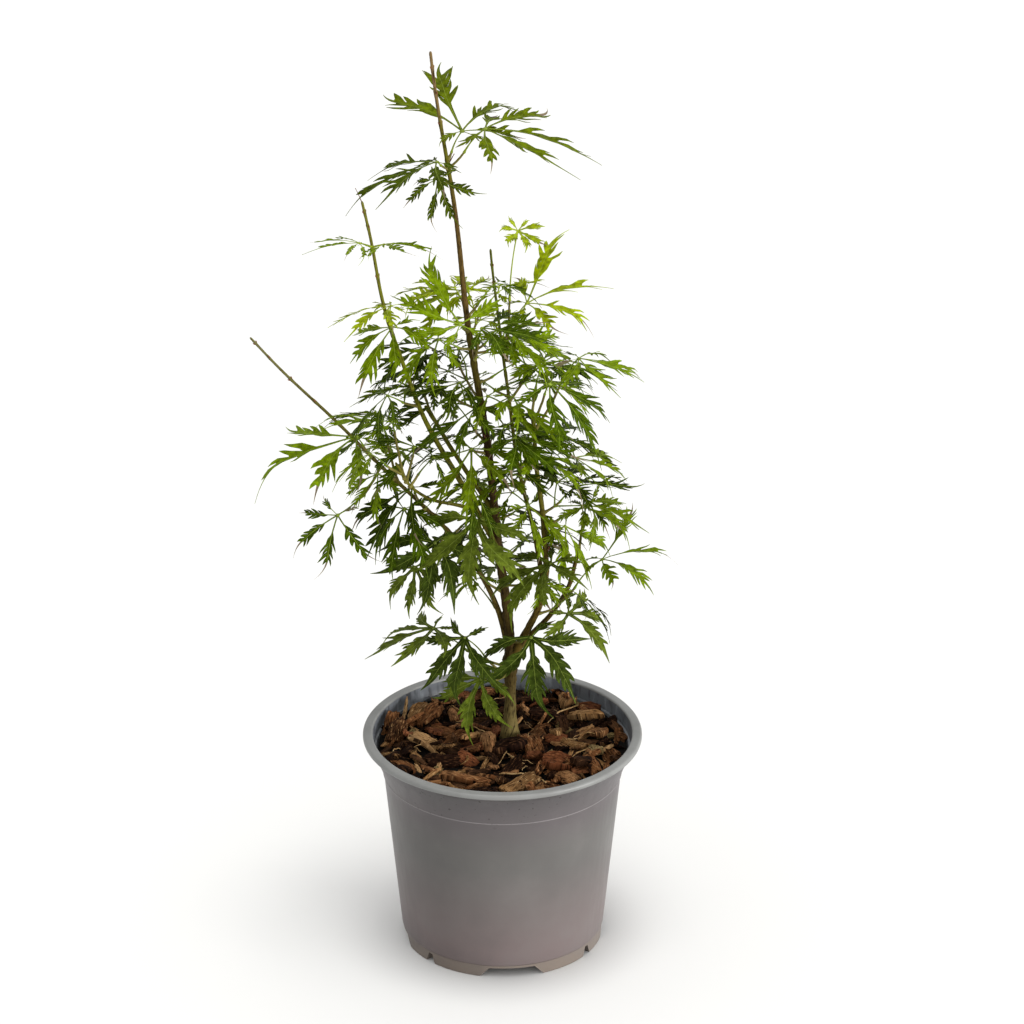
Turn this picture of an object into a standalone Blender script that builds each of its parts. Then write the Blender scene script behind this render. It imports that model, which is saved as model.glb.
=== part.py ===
"""Potted Japanese maple: a young, upright, cut-leaf tree in a round nursery pot.

Metres, +Z up. The origin is the centre of the pot's underside, the pot's axis is +Z and
the front of the plant faces -Y. Headings are degrees round +Z from +X, so 90 is the back
of the plant. Leans are degrees away from upright, rises are degrees above level.

The stems are swept along curves that turn from one lean to another. Each mass of foliage
is a short twig with pairs of long-stalked leaves, every pair turned a quarter from the
last, all fused into one solid. A leaf that would touch a stem or another mass is skipped.
"""
import math
import random

import bmesh
import bpy
from mathutils import Matrix, Vector
from mathutils.bvhtree import BVHTree

MM = 0.001
GAP = 0.3 * MM                      # clearance between pieces that rest on each other
WELD = 0.002 * MM                   # points nearer than this are one point
SHARP_ANGLE = 40                    # degrees between faces above which an edge stays sharp
UP = Vector((0.0, 0.0, 1.0))

# Pot
POT_HEIGHT = 153.5 * MM
RIM_RADIUS = 95 * MM
RIM_WIDTH = 6.8 * MM
RIM_ROUND = 1.8 * MM
NECK_HEIGHT = 117 * MM              # the straight wall ends here and the flare begins
NECK_RADIUS = 80.3 * MM
FLARE_POWER = 1.7
WALL_FOOT_RADIUS = 69.6 * MM
WALL = 1.8 * MM
FOOT_HEIGHT = 9 * MM
FOOT_RADIUS = 69.0 * MM
FOOT_WIDTH = 5 * MM
FLOOR_UNDER = 7.5 * MM
FLOOR = 2 * MM
PAD_RADIUS = 11 * MM                # boss in the middle of the underside
NOTCH_HEIGHT = 7 * MM
WIDE_NOTCH = (46 * MM, 31 * MM)     # width at the ground and at its top
NARROW_NOTCH = (9 * MM, 3 * MM)
NOTCH_START = 5.5                   # degrees from +X to the first wide gap
NARROW_TURNS = (51, 129, 231, 309)  # degrees from the front wide gap round to each narrow one
NOTCHES = 4                         # wide gaps
DRAIN_RADIUS = 4.5 * MM
DRAIN_RING = 44 * MM
DRAINS = 4
DRAIN_SIDES = 8
POT_SIDES = 36
FLARE_STEPS = 5

# Filling
COMPOST_TOP = 128 * MM
MULCH_TOP = 139 * MM
MULCH_SIDES = 32
CHIP_COUNT = 26
CHIP_LENGTH = (15 * MM, 30 * MM)
CHIP_WIDTH = (8 * MM, 14 * MM)
CHIP_THICK = (4 * MM, 7 * MM)
CHIP_TAPER = (0.86, 0.80)           # upper face of a chip as parts of its lower face
CHIP_TILT = 22                      # steepest lie of a chip, in degrees
CHIP_LIFT = (0.5 * MM, 3.5 * MM)    # middle of a chip above the layer
CHIP_SCATTER = 3 * MM
CHIP_SINK = 1 * MM                  # mulch that is left under the lowest corner of a chip
CHIP_INSET = 1.5 * MM               # between the longest chip and the wall
CHIP_SEED = 11
WELL_DEPTH = 5 * MM                 # how far the opening for the trunk runs below the layer

# Stems: name, parent, place along the parent, length, heading, lean at the foot and at
# the tip, part of the length over which it turns, radius at the foot and at the tip.
TRUNK_FOOT = Vector((5 * MM, 6 * MM, COMPOST_TOP + GAP))
TRUNK_FLARE = 2.0 * MM
TRUNK_FLARE_HEIGHT = 15 * MM
PATH_STEPS = 240
TAPER_POWER = 0.7
STEMS = (
    ("trunk", None, 0.0, 511 * MM, 180, 0, 7.1, (0.14, 0.30), 4.4 * MM, 1.1 * MM),
    ("bough_left_low", "trunk", 0.150, 290 * MM, 172, 12, 45, (0.05, 0.40), 2.2 * MM, 0.8 * MM),
    ("bough_left_leader", "trunk", 0.315, 268 * MM, 188, 28, 10, (0.15, 0.9), 2.3 * MM, 0.9 * MM),
    ("bough_left_inner", "bough_left_leader", 0.125, 86 * MM, 218, 66, 26, (0.3, 1.0), 1.3 * MM, 0.9 * MM),
    ("bough_left_stub", "trunk", 0.365, 86 * MM, 158, 38, 33, (0.0, 1.0), 1.8 * MM, 1.3 * MM),
    ("bough_right", "trunk", 0.148, 190 * MM, 340, 27, -6, (0.10, 0.55), 2.8 * MM, 1.3 * MM),
    ("bough_right_low", "bough_right", 0.06, 82 * MM, 24, 52, 14, (0.2, 0.9), 2.0 * MM, 1.3 * MM),
    ("bough_back", "bough_right", 0.34, 232 * MM, 128, 20, 10, (0.1, 0.8), 1.7 * MM, 0.8 * MM),
)
STEM_RING_GAP = 20 * MM
TRUNK_SIDES = 10
BOUGH_SIDES = 8
WOBBLE = 2.2                        # degrees of lean that a stem wanders
WOBBLE_WAVES = 3.0
WOBBLE_SIDEWAYS = 0.7               # waves to the side for each wave of lean
WOBBLE_START = 0.15                 # part of a stem over which the wander grows
STEM_SEED = 5

# Blades: seven lobes cut to the stalk; their angles, and their lengths as parts of the blade.
LOBES = ((-128, 0.40), (-82, 0.74), (-40, 0.93), (0, 1.0), (40, 0.93), (82, 0.74), (128, 0.40))
SHORT_LOBE = 0.5                    # lobes shorter than this are plain points
LOBE_WIDEST = 0.45                  # part of a lobe's length at which it is widest
LOBE_HALF_WIDTH = 0.076             # of the lobe's own length
HUB_RADIUS = 0.055                  # of the blade's length
HUB_OVERHANG = 24                   # degrees that the hub runs past the outer lobes
TIP_SAG = 0.28                      # drop of a lobe's tip, as part of its length
BLADE_THICK = 0.9 * MM
BLADE_SIZE = (0.90, 1.08)           # of the mass's blade length
BLADE_TILT = 14                     # degrees either way round the blade's middle line
LONE_DROOP = 3                      # the same for a mass of one leaf
BLADE_DROOP = 8                     # degrees either way of the mass's droop

# Stalks and twigs
TWIG_RADIUS = 1.1 * MM
TWIG_TAPER = 0.8
TWIG_CURL = 10                      # degrees that a twig turns up along its length
TWIG_RING_GAP = 16 * MM
TWIG_LEAFY = 0.8                    # outer part of a twig that carries leaves
STALK_RADIUS = 0.8 * MM
STALK_SIZE = (0.88, 1.12)           # of the mass's stalk length
STALK_ANGLE = (50, 66)              # degrees between the twig and the stalk of a side leaf
STALK_LIFT = 0.35                   # how far a stalk turns up from its twig
STALK_LEVEL = 0.4                   # how far its outer half turns to the level
STEEP_STALK = 0.25                  # a stalk with less level run than this takes its twig's heading
STEEP_TURN = 70                     # and this many degrees to its own side
PAIR_TURN = 90                      # degrees from one pair to the next
ROLL_SPREAD = 12                    # degrees either way round the twig
TURN_SPREAD = 6                     # degrees either way round the vertical
RETRY_ROLL = 4                      # degrees that each further try adds to the roll
RETRY_TURN = 8                      # degrees that it adds to the turn

# Room
CLEARANCE = 0.6 * MM                # air that is kept round a leaf
TRIES = 8
MIDDLE_LOBE = 3
FEWEST_LOBES = 5                    # a leaf with less room than this is skipped
SIDES_IN_TEST = (5, 3)              # of a stalk that looks for room and of one that takes it


def clear_scene():
    for item in list(bpy.data.objects):
        bpy.data.objects.remove(item, do_unlink=True)


def smooth_step(low, high, value):
    ratio = min(max((value - low) / (high - low), 0.0), 1.0)
    return ratio * ratio * (3.0 - 2.0 * ratio)


def pointing(heading, rise):
    """Unit vector at a heading and a rise, both in degrees."""
    turn, lift = math.radians(heading), math.radians(rise)
    return Vector((math.cos(turn) * math.cos(lift), math.sin(turn) * math.cos(lift), math.sin(lift)))


class Stem:
    """A tapering stem: its centre line, its radius and the way it points."""

    def __init__(self, foot, length, heading, leans, turn, radii, flare=0.0, seed=0):
        self.length = length
        self.radii = radii
        self.flare = flare
        chance = random.Random(seed)
        phase = chance.uniform(0.0, math.tau)
        drift = chance.uniform(0.0, math.tau)
        self.points = [Vector(foot)]
        for step in range(PATH_STEPS):
            part = (step + 0.5) / PATH_STEPS
            lean = leans[0] + (leans[1] - leans[0]) * smooth_step(turn[0], turn[1], part)
            settle = smooth_step(0.0, WOBBLE_START, part)
            swing = math.tau * WOBBLE_WAVES * part
            lean += WOBBLE * settle * math.sin(swing + phase)
            side = WOBBLE * settle * math.sin(swing * WOBBLE_SIDEWAYS + drift)
            along = pointing(heading, 90.0 - lean)
            across = pointing(heading + 90.0, 0.0) * math.tan(math.radians(side))
            self.points.append(self.points[-1] + (along + across).normalized() * length / PATH_STEPS)

    def at(self, part):
        """Point of the centre line and the way it points there."""
        place = min(max(part, 0.0), 1.0) * PATH_STEPS
        index = min(int(place), PATH_STEPS - 1)
        low, high = self.points[index], self.points[index + 1]
        return low.lerp(high, place - index), (high - low).normalized()

    def radius(self, part):
        taper = self.radii[0] + (self.radii[1] - self.radii[0]) * part ** TAPER_POWER
        return taper + self.flare * math.exp(-part * self.length / TRUNK_FLARE_HEIGHT)


def grow_stems():
    """Every stem by name, the trunk first."""
    stems = {}
    for index, (name, parent, along, length, heading, lean, tip_lean, turn, *radii) in enumerate(STEMS):
        foot = stems[parent].at(along)[0] if parent else TRUNK_FOOT
        flare = 0.0 if parent else TRUNK_FLARE
        stems[name] = Stem(foot, length, heading, (lean, tip_lean), turn, radii, flare, STEM_SEED + index)
    return stems


# Foliage: mass, stem it grows on, place along that stem, heading, rise and length of its
# twig, leaves, blade length, stalk length, droop of the blades, turn of the end leaf from
# the way its stalk points, and tint.
MASSES = (
    ("top_back", "trunk", 0.855, 24, 60, 2, 1, 70, 15, -5, 74, "young"),
    ("top_right", "trunk", 0.845, 344, 45, 13, 1, 70, 24, 0, 18, "young"),
    ("top_left", "trunk", 0.845, 241, 25, 8.5, 1, 64, 6, 10, -52, "young"),
    ("top_hang", "trunk", 0.825, 234, 19, 7, 1, 48, 6, 58, 10, "young"),
    ("leader_mid", "bough_left_leader", 0.68, 289, 64, 4, 1, 50, 8, 4, -107, "young"),
    ("leader_low", "bough_left_leader", 0.645, 270, 33, 6, 1, 50, 8, 35, -36, "young"),
    ("crown_front", "trunk", 0.62, 251, 27, 8.5, 1, 60, 10, -50, -120, "mid"),
    ("crown_left", "trunk", 0.66, 133, 26, 2, 1, 48, 9, -4, 45, "young"),
    ("crown_mid", "trunk", 0.575, 294, 65, 12, 1, 56, 16, -10, 81, "mid"),
    ("crown_right", "trunk", 0.59, 4, 3, 7, 1, 52, 20, 10, -19, "mid"),
    ("mid_near", "trunk", 0.45, 203, 15, 9, 2, 50, 14, 25, -11, "dark"),
    ("right_under", "bough_right", 0.55, 34, -21, 3, 1, 48, 12, 45, -69, "mid"),
    ("right_far", "bough_right", 0.93, 9, 57, 32, 1, 50, 26, 2, -3, "mid"),
    ("right_tip", "bough_right", 0.965, 301, 56, 24.5, 1, 62, 12, 26, 12, "mid"),
    ("right_top", "bough_right", 1.0, 41, 80, 16.5, 1, 54, 20, -25, 109, "mid"),
    ("mid_pale", "trunk", 0.485, 251, 43, 17, 1, 56, 8, 22, -54, "mid"),
    ("mid_front", "trunk", 0.455, 313, 23, 11.5, 3, 60, 18, 8, 38, "mid"),
    ("mid_right", "trunk", 0.51, 286, 44, 9.5, 1, 52, 8, 12, 48, "dark"),
    ("low_front", "trunk", 0.37, 244, -7, 12, 1, 62, 12, 45, 7, "dark"),
    ("right_front", "bough_right", 0.4, 282, 33, 6.5, 1, 60, 8, 28, -65, "mid"),
    ("left_under", "bough_left_low", 0.32, 227, 8, 11.5, 1, 52, 12, 45, 23, "mid"),
    ("left_drop", "bough_left_low", 0.36, 218, -57, 14.5, 1, 42, 16, 62, 28, "mid"),
    ("left_foot", "bough_left_low", 0.45, 256, 41, 15.5, 1, 58, 10, 38, -32, "dark"),
    ("left_fall", "bough_left_low", 0.43, 239, 10, 13.5, 1, 50, 12, 60, 12, "mid"),
    ("left_small", "bough_left_low", 0.53, 232, 21, 8.5, 1, 40, 8, 35, -14, "mid"),
    ("left_hang", "bough_left_low", 0.575, 207, -60, 21, 1, 48, 24, 50, 36, "mid"),
    ("left_tip", "bough_left_low", 0.6, 216, 52, 8.5, 1, 68, 10, 10, -20, "mid"),
    ("inner_tip", "bough_left_inner", 0.84, 102, 25, 36, 1, 50, 8, -12, 58, "mid"),
    ("inner_side", "bough_left_inner", 0.8, 79, 18, 21.5, 1, 46, 8, 30, 146, "mid"),
    ("low_right", "trunk", 0.175, 310, 17, 8.5, 1, 56, 12, 45, -35, "dark"),
    ("low_left", "trunk", 0.12, 207, 43, 21.5, 1, 50, 22, 45, 52, "dark"),
    ("low_far", "trunk", 0.135, 187, 23, 28.5, 1, 50, 30, 20, 19, "dark"),
    ("low_foot", "trunk", 0.13, 237, 0, 16, 1, 48, 12, 50, 19, "dark"),
    ("low_tail", "bough_right_low", 0.42, 314, -3, 3.5, 1, 48, 10, 38, 26, "mid"),
    ("right_end", "bough_right_low", 0.5, 338, 46, 11.5, 1, 58, 32, -4, 21, "mid"),
    ("right_hang", "bough_right_low", 1.0, 305, 80, 20.5, 1, 40, 20, 58, -5, "dark"),
    ("back_shoot", "bough_back", 0.63, 69, 78, 39, 1, 24, 46, 40, -149, "young"),
    ("back_top", "bough_back", 0.72, 358, 58, 9.5, 1, 58, 20, -10, 20, "young"),
    ("leader_top", "bough_left_leader", 0.875, 270, 25, 4, 2, 38, 10, -14, 0, "young"),
    ("crown_back", "trunk", 0.610, 75, 15, 22, 4, 46, 22, 5, 0, "young"),
    ("mid_left", "trunk", 0.510, 180, 20, 14, 3, 42, 18, 6, 0, "dark"),
    ("mid_back", "trunk", 0.520, 120, 25, 30, 4, 48, 24, 15, 0, "dark"),
    ("low_back", "trunk", 0.215, 100, 30, 38, 4, 46, 24, 25, 0, "dark"),
    ("left_back", "bough_left_low", 0.52, 105, 25, 30, 3, 46, 24, 20, 0, "mid"),
    ("stub_tip", "bough_left_stub", 0.90, 110, 30, 16, 3, 46, 22, 18, 0, "dark"),
    ("right_mid", "bough_right", 0.80, 0, 20, 8, 2, 52, 18, 2, 0, "dark"),
    ("right_low", "bough_right", 0.62, 350, 35, 12, 3, 46, 18, 0, 0, "dark"),
    ("back_mid", "bough_back", 0.55, 60, 20, 26, 4, 48, 24, 16, 0, "mid"),
    ("back_low", "bough_back", 0.30, 75, 10, 36, 4, 46, 24, 28, 0, "dark"),
)
LEAF_FLOOR = 154.5 * MM               # no leaf hangs lower than the pot's rim
CROWN_RADIUS = 185 * MM
LEAF_SEED = 40


class Leaf:
    """One leaf: its stalk's centre line, and where and how its blade lies."""

    def __init__(self, stalk, hub, forward, normal, size):
        self.stalk = stalk
        self.hub = hub
        self.forward = forward
        self.normal = normal
        self.size = size
        self.lobes = tuple(range(len(LOBES)))

    def place(self, ahead, aside, rise):
        left = self.normal.cross(self.forward)
        return self.hub + self.forward * ahead + left * aside + self.normal * rise


def leaf_at(node, heading, twig_way, roll, side, mass, chance, effort):
    """A leaf whose stalk leaves the twig at node, on one side of it or, with side 0, at its end."""
    _, _, _, _, _, _, count, blade, stalk, droop, facing, _ = mass
    level = twig_way.cross(UP).normalized()
    lift = level.cross(twig_way)
    angle = math.radians(chance.uniform(*STALK_ANGLE)) if side else 0.0
    spin = math.radians(roll + chance.uniform(-1, 1) * (ROLL_SPREAD + RETRY_ROLL * effort))
    across = (level * math.cos(spin) + lift * math.sin(spin)) * (side or 1)
    way = twig_way * math.cos(angle) + across * math.sin(angle)
    turn = math.radians(chance.uniform(-1, 1) * (TURN_SPREAD + RETRY_TURN * effort))
    way = Matrix.Rotation(turn, 3, "Z") @ (way + UP * STALK_LIFT).normalized()
    half_stalk = stalk * MM * chance.uniform(*STALK_SIZE) / 2
    bend = node + way * half_stalk
    level_way = Vector((way.x, way.y, 0.0))
    if level_way.length < STEEP_STALK:
        level_way = pointing(heading + STEEP_TURN * side, 0)
    level_way.normalize()
    hub = bend + way.lerp(level_way, STALK_LEVEL).normalized() * half_stalk
    pitch = math.radians(droop + chance.uniform(-1, 1) * (BLADE_DROOP if count > 1 else LONE_DROOP))
    if not side:
        level_way = Matrix.Rotation(math.radians(facing), 3, "Z") @ level_way
    forward = level_way * math.cos(pitch) - UP * math.sin(pitch)
    normal = (UP * math.cos(pitch) + level_way * math.sin(pitch)).normalized()
    tilt = Matrix.Rotation(math.radians(chance.uniform(-BLADE_TILT, BLADE_TILT)), 3, forward)
    size = blade * MM * chance.uniform(*BLADE_SIZE)
    return Leaf([node, bend, hub], hub, forward, tilt @ normal, size)


def tube(points, radii, sides):
    """A closed tube along points, as vertices and faces."""
    way = (points[1] - points[0]).normalized()
    across = way.orthogonal().normalized()
    verts = []
    for index, point in enumerate(points):
        ahead = points[min(index + 1, len(points) - 1)] - points[max(index - 1, 0)]
        across = (across - ahead * across.dot(ahead) / ahead.length_squared).normalized()
        other = ahead.normalized().cross(across)
        for step in range(sides):
            turn = math.tau * step / sides
            verts.append(point + (across * math.cos(turn) + other * math.sin(turn)) * radii[index])
    faces = []
    for ring in range(len(points) - 1):
        for step in range(sides):
            low, next_low = ring * sides + step, ring * sides + (step + 1) % sides
            faces.append((low, next_low, next_low + sides, low + sides))
    faces.append(tuple(reversed(range(sides))))
    last = (len(points) - 1) * sides
    faces.append(tuple(range(last, last + sides)))
    return verts, faces


def blade_solid(leaf, swell=0.0, lobes=None):
    """The leaf's blade as a thin solid with the given lobes; swell grows it on every side.

    Lobes run from the hub's rim to a widest place and on to a point, where the upper and
    the lower face meet.
    """
    kept = leaf.lobes if lobes is None else lobes
    half = BLADE_THICK / 2 + swell
    hub_radius = HUB_RADIUS * leaf.size + swell
    angles = [angle for angle, _ in LOBES]
    between = [(low + high) / 2 for low, high in zip(angles, angles[1:])]
    ends = angles[0] - HUB_OVERHANG, angles[-1] + HUB_OVERHANG
    corners = [math.radians(turn) for turn in (ends[0], *between, ends[1])]
    verts, faces, hub = [], [], []

    def rim_point(x, y, z, up=half):
        verts.append(leaf.place(x, y, z + up))
        verts.append(leaf.place(x, y, z - up))
        return len(verts) - 2

    for turn in corners:
        hub.append(rim_point(hub_radius * math.cos(turn), hub_radius * math.sin(turn), 0.0))
    faces.append(tuple(hub))
    faces.append(tuple(index + 1 for index in reversed(hub)))
    faces.append((hub[0], hub[-1], hub[-1] + 1, hub[0] + 1))
    for index, (angle, share) in enumerate(LOBES):
        root, end = hub[index], hub[index + 1]
        if index not in kept:
            faces.append((end, root, root + 1, end + 1))
            continue
        length = share * leaf.size
        cosine, sine = math.cos(math.radians(angle)), math.sin(math.radians(angle))
        reach, sag = length + swell, TIP_SAG * length
        if swell:
            tip = rim_point(reach * cosine, reach * sine, -sag, swell)
            under = tip + 1
        else:
            tip = under = len(verts)
            verts.append(leaf.place(reach * cosine, reach * sine, -sag))
        if share > SHORT_LOBE:
            far, wide = LOBE_WIDEST * length, LOBE_HALF_WIDTH * length + swell
            drop = sag * LOBE_WIDEST ** 2
            right = rim_point(far * cosine + wide * sine, far * sine - wide * cosine, -drop)
            left = rim_point(far * cosine - wide * sine, far * sine + wide * cosine, -drop)
            faces += [(root, right, left, end), (end + 1, left + 1, right + 1, root + 1)]
            faces += [(right, root, root + 1, right + 1), (end, left, left + 1, end + 1)]
            root, end = right, left
        sides = ((tip, root, root + 1, under), (end, tip, under, end + 1))
        faces += [(root, tip, end), (end + 1, under, root + 1)]
        faces += [tuple(dict.fromkeys(side)) for side in sides]
    return verts, faces


def stalk_solid(leaf, sides, swell=0.0):
    return tube(leaf.stalk, [STALK_RADIUS + swell] * len(leaf.stalk), sides)


def tree_of(solid):
    return BVHTree.FromPolygons(solid[0], solid[1])


def ring_places(stem, ring_gap):
    """Places along a stem, as parts of its length, that are about ring_gap apart."""
    count = max(2, round(stem.length / ring_gap))
    return [step / count for step in range(count + 1)]


def stem_solid(stem, sides, ring_gap, swell=0.0):
    """A stem as a tube, closed by a flat cut at both ends."""
    places = ring_places(stem, ring_gap)
    radii = [stem.radius(place) + swell for place in places]
    return tube([stem.at(place)[0] for place in places], radii, sides)


def twig_of(mass, stems):
    """The twig of a mass, its flat end standing clear of the stem that carries it."""
    _, carrier, along, heading, rise, reach, *_ = mass
    stem = stems[carrier]
    centre, tangent = stem.at(along)
    radius = TWIG_RADIUS
    if along == 1.0:
        foot = centre + tangent * GAP
        leans = TWIG_CURL, 90 - rise
        radius = min(TWIG_RADIUS, stem.radius(1.0))
    else:
        way = pointing(heading, rise)
        cosine = abs(way.dot(tangent))
        sine = math.sqrt(1.0 - cosine * cosine)
        foot = centre + way * (stem.radius(along) + GAP + TWIG_RADIUS * cosine) / sine
        leans = 90 - rise, 90 - rise - TWIG_CURL
    return Stem(foot, reach * MM, heading, leans, (0, 1), (radius, TWIG_RADIUS * TWIG_TAPER), seed=LEAF_SEED)


def grow_mass(mass, stems, taken):
    """The twig and leaves of one mass that keep clear of everything in taken."""
    name, _, _, heading, _, reach, count, _, _, _, _, _ = mass
    chance = random.Random(LEAF_SEED + sum(ord(letter) for letter in name))
    twig = twig_of(mass, stems)
    nodes = (count + 1) // 2
    leaves = []
    for index in range(nodes):
        node, way = twig.at(1.0 - index / nodes * TWIG_LEAFY)
        sides = (0,) if index == 0 and count % 2 else (1, -1)
        for side in sides:
            for effort in range(TRIES):
                leaf = leaf_at(node, heading, way, PAIR_TURN * index, side, mass, chance, effort)
                leaf.lobes = free_lobes(leaf, taken)
                if MIDDLE_LOBE in leaf.lobes and len(leaf.lobes) >= FEWEST_LOBES:
                    leaves.append(leaf)
                    break
    return twig, leaves


def is_free(solid, taken):
    """True where a solid keeps to the crown's space and touches nothing in taken."""
    for vert in solid[0]:
        if vert.z < LEAF_FLOOR or math.hypot(vert.x, vert.y) > CROWN_RADIUS:
            return False
    tree = tree_of(solid)
    return not any(tree.overlap(other) for other in taken)


def free_lobes(leaf, taken):
    """The lobes that have room, or none where the stalk has no room."""
    if not is_free(stalk_solid(leaf, SIDES_IN_TEST[0], CLEARANCE), taken):
        return ()
    return tuple(lobe for lobe in leaf.lobes if is_free(blade_solid(leaf, CLEARANCE, (lobe,)), taken))


def grow_plant():
    """Stems and masses, each mass clear of the stems and of the masses before it."""
    stems = grow_stems()
    taken = [tree_of(stem_solid(stem, BOUGH_SIDES, STEM_RING_GAP)) for stem in stems.values()]
    twigs = {}
    for mass in MASSES:
        twigs[mass[0]] = tree_of(stem_solid(twig_of(mass, stems), SIDES_IN_TEST[0], TWIG_RING_GAP, CLEARANCE))
    masses = {}
    for mass in MASSES:
        others = [tree for name, tree in twigs.items() if name != mass[0]]
        twig, leaves = grow_mass(mass, stems, taken + others)
        masses[mass[0]] = (twig, leaves)
        for leaf in leaves:
            taken.append(tree_of(blade_solid(leaf)))
            taken.append(tree_of(stalk_solid(leaf, SIDES_IN_TEST[1])))
    return stems, masses


def material(name, colour, roughness, metallic=0.0):
    """A Principled BSDF material of one plain colour, made once."""
    made = bpy.data.materials.get(name)
    if made:
        return made
    made = bpy.data.materials.new(name)
    made.use_nodes = True
    shader = made.node_tree.nodes["Principled BSDF"]
    shader.inputs["Base Color"].default_value = (*colour, 1.0)
    shader.inputs["Roughness"].default_value = roughness
    shader.inputs["Metallic"].default_value = metallic
    return made


def pot_material():
    return material("pot_plastic", (0.165, 0.155, 0.150), 0.55)


def compost_material():
    return material("compost", (0.020, 0.013, 0.009), 0.95)


def mulch_material():
    return material("bark_mulch", (0.115, 0.050, 0.024), 0.85)


def bark_material():
    return material("bark", (0.090, 0.052, 0.030), 0.75)


def leaf_material(tint):
    colours = {"young": (0.240, 0.350, 0.035), "mid": (0.095, 0.215, 0.030), "dark": (0.040, 0.120, 0.028)}
    return material("leaf_" + tint, colours[tint], 0.5)


def add_object(name, solid, finish):
    """A mesh object from vertices and faces, its faces turned to point out."""
    mesh = bpy.data.meshes.new(name)
    mesh.from_pydata([tuple(vert) for vert in solid[0]], [], solid[1])
    work = bmesh.new()
    work.from_mesh(mesh)
    bmesh.ops.recalc_face_normals(work, faces=work.faces)
    work.to_mesh(mesh)
    work.free()
    mesh.materials.append(finish)
    item = bpy.data.objects.new(name, mesh)
    bpy.context.scene.collection.objects.link(item)
    return item


def lathe(profile, sides):
    """The solid turned about the Z axis by a profile that starts and ends on the axis."""
    verts, rings = [], []
    for radius, height in profile:
        if radius == 0.0:
            rings.append([len(verts)] * sides)
            verts.append(Vector((0.0, 0.0, height)))
            continue
        rings.append(list(range(len(verts), len(verts) + sides)))
        for step in range(sides):
            turn = math.tau * (step + 0.5) / sides
            verts.append(Vector((radius * math.cos(turn), radius * math.sin(turn), height)))
    faces = []
    for low, high in zip(rings, rings[1:]):
        for step in range(sides):
            other = (step + 1) % sides
            corners = [low[step], low[other], high[other], high[step]]
            faces.append(tuple(dict.fromkeys(corners)))
    return verts, faces


def box_between(lows, highs):
    """A six-sided solid with its four lower corners and four upper corners given."""
    faces = [(3, 2, 1, 0), (4, 5, 6, 7)]
    faces += [(step, (step + 1) % 4, (step + 1) % 4 + 4, step + 4) for step in range(4)]
    return [Vector(corner) for corner in (*lows, *highs)], faces


def joined(solids):
    """Several solids as one list of vertices and one of faces, not fused."""
    verts, faces = [], []
    for solid_verts, solid_faces in solids:
        first = len(verts)
        verts += solid_verts
        faces += [tuple(index + first for index in face) for face in solid_faces]
    return verts, faces


def apply_modifiers(item):
    """Put the evaluated shape in the object's own mesh and drop its modifiers."""
    bpy.context.view_layer.update()
    evaluated = item.evaluated_get(bpy.context.evaluated_depsgraph_get())
    item.data = bpy.data.meshes.new_from_object(evaluated)
    item.modifiers.clear()


def keep_outer_shell(item):
    """Drop every shell but the largest: scraps that came loose and hollows that were sealed."""
    work = bmesh.new()
    work.from_mesh(item.data)
    bmesh.ops.remove_doubles(work, verts=work.verts, dist=WELD)
    bmesh.ops.dissolve_degenerate(work, edges=work.edges, dist=WELD)
    waiting = set(work.verts)
    shells = []
    while waiting:
        seed = waiting.pop()
        shell, edge_of_shell = {seed}, [seed]
        while edge_of_shell:
            vert = edge_of_shell.pop()
            for edge in vert.link_edges:
                other = edge.other_vert(vert)
                if other in waiting:
                    waiting.discard(other)
                    shell.add(other)
                    edge_of_shell.append(other)
        shells.append(shell)
    shells.sort(key=len)
    for shell in shells[:-1]:
        bmesh.ops.delete(work, geom=list(shell), context="VERTS")
    closed = all(edge.is_manifold for edge in work.edges)
    work.to_mesh(item.data)
    work.free()
    return closed


def cut(item, cutters):
    """Take each cutter's shape out of the item, and remove the cutters."""
    for cutter in cutters:
        modifier = item.modifiers.new("cut", "BOOLEAN")
        modifier.operation = "DIFFERENCE"
        modifier.solver = "EXACT"
        modifier.object = cutter
    apply_modifiers(item)
    for cutter in cutters:
        bpy.data.objects.remove(cutter, do_unlink=True)
    keep_outer_shell(item)


def fuse(item, extras):
    """One union of the item with a collection of extras, which are then removed."""
    group = bpy.data.collections.new(item.name + "_parts")
    bpy.context.scene.collection.children.link(group)
    for extra in extras:
        bpy.context.scene.collection.objects.unlink(extra)
        group.objects.link(extra)
    alone = item.data
    for solver in ("EXACT", "MANIFOLD"):
        item.data = alone
        modifier = item.modifiers.new("join", "BOOLEAN")
        modifier.operation = "UNION"
        modifier.solver = solver
        modifier.operand_type = "COLLECTION"
        modifier.collection = group
        apply_modifiers(item)
        if keep_outer_shell(item):
            break
    for extra in extras:
        bpy.data.objects.remove(extra, do_unlink=True)
    bpy.data.collections.remove(group)


def shade_round(item):
    item.data.shade_smooth()
    item.data.set_sharp_from_angle(angle=math.radians(SHARP_ANGLE))


def wall_radius(height):
    """Outer radius of the pot at a height above its foot."""
    if height <= NECK_HEIGHT:
        part = (height - FOOT_HEIGHT) / (NECK_HEIGHT - FOOT_HEIGHT)
        return WALL_FOOT_RADIUS + (NECK_RADIUS - WALL_FOOT_RADIUS) * part
    part = (height - NECK_HEIGHT) / (POT_HEIGHT - NECK_HEIGHT)
    return NECK_RADIUS + (RIM_RADIUS - NECK_RADIUS) * part ** FLARE_POWER


def inner_radius(height):
    return min(wall_radius(height) - WALL, RIM_RADIUS - RIM_WIDTH)


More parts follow.
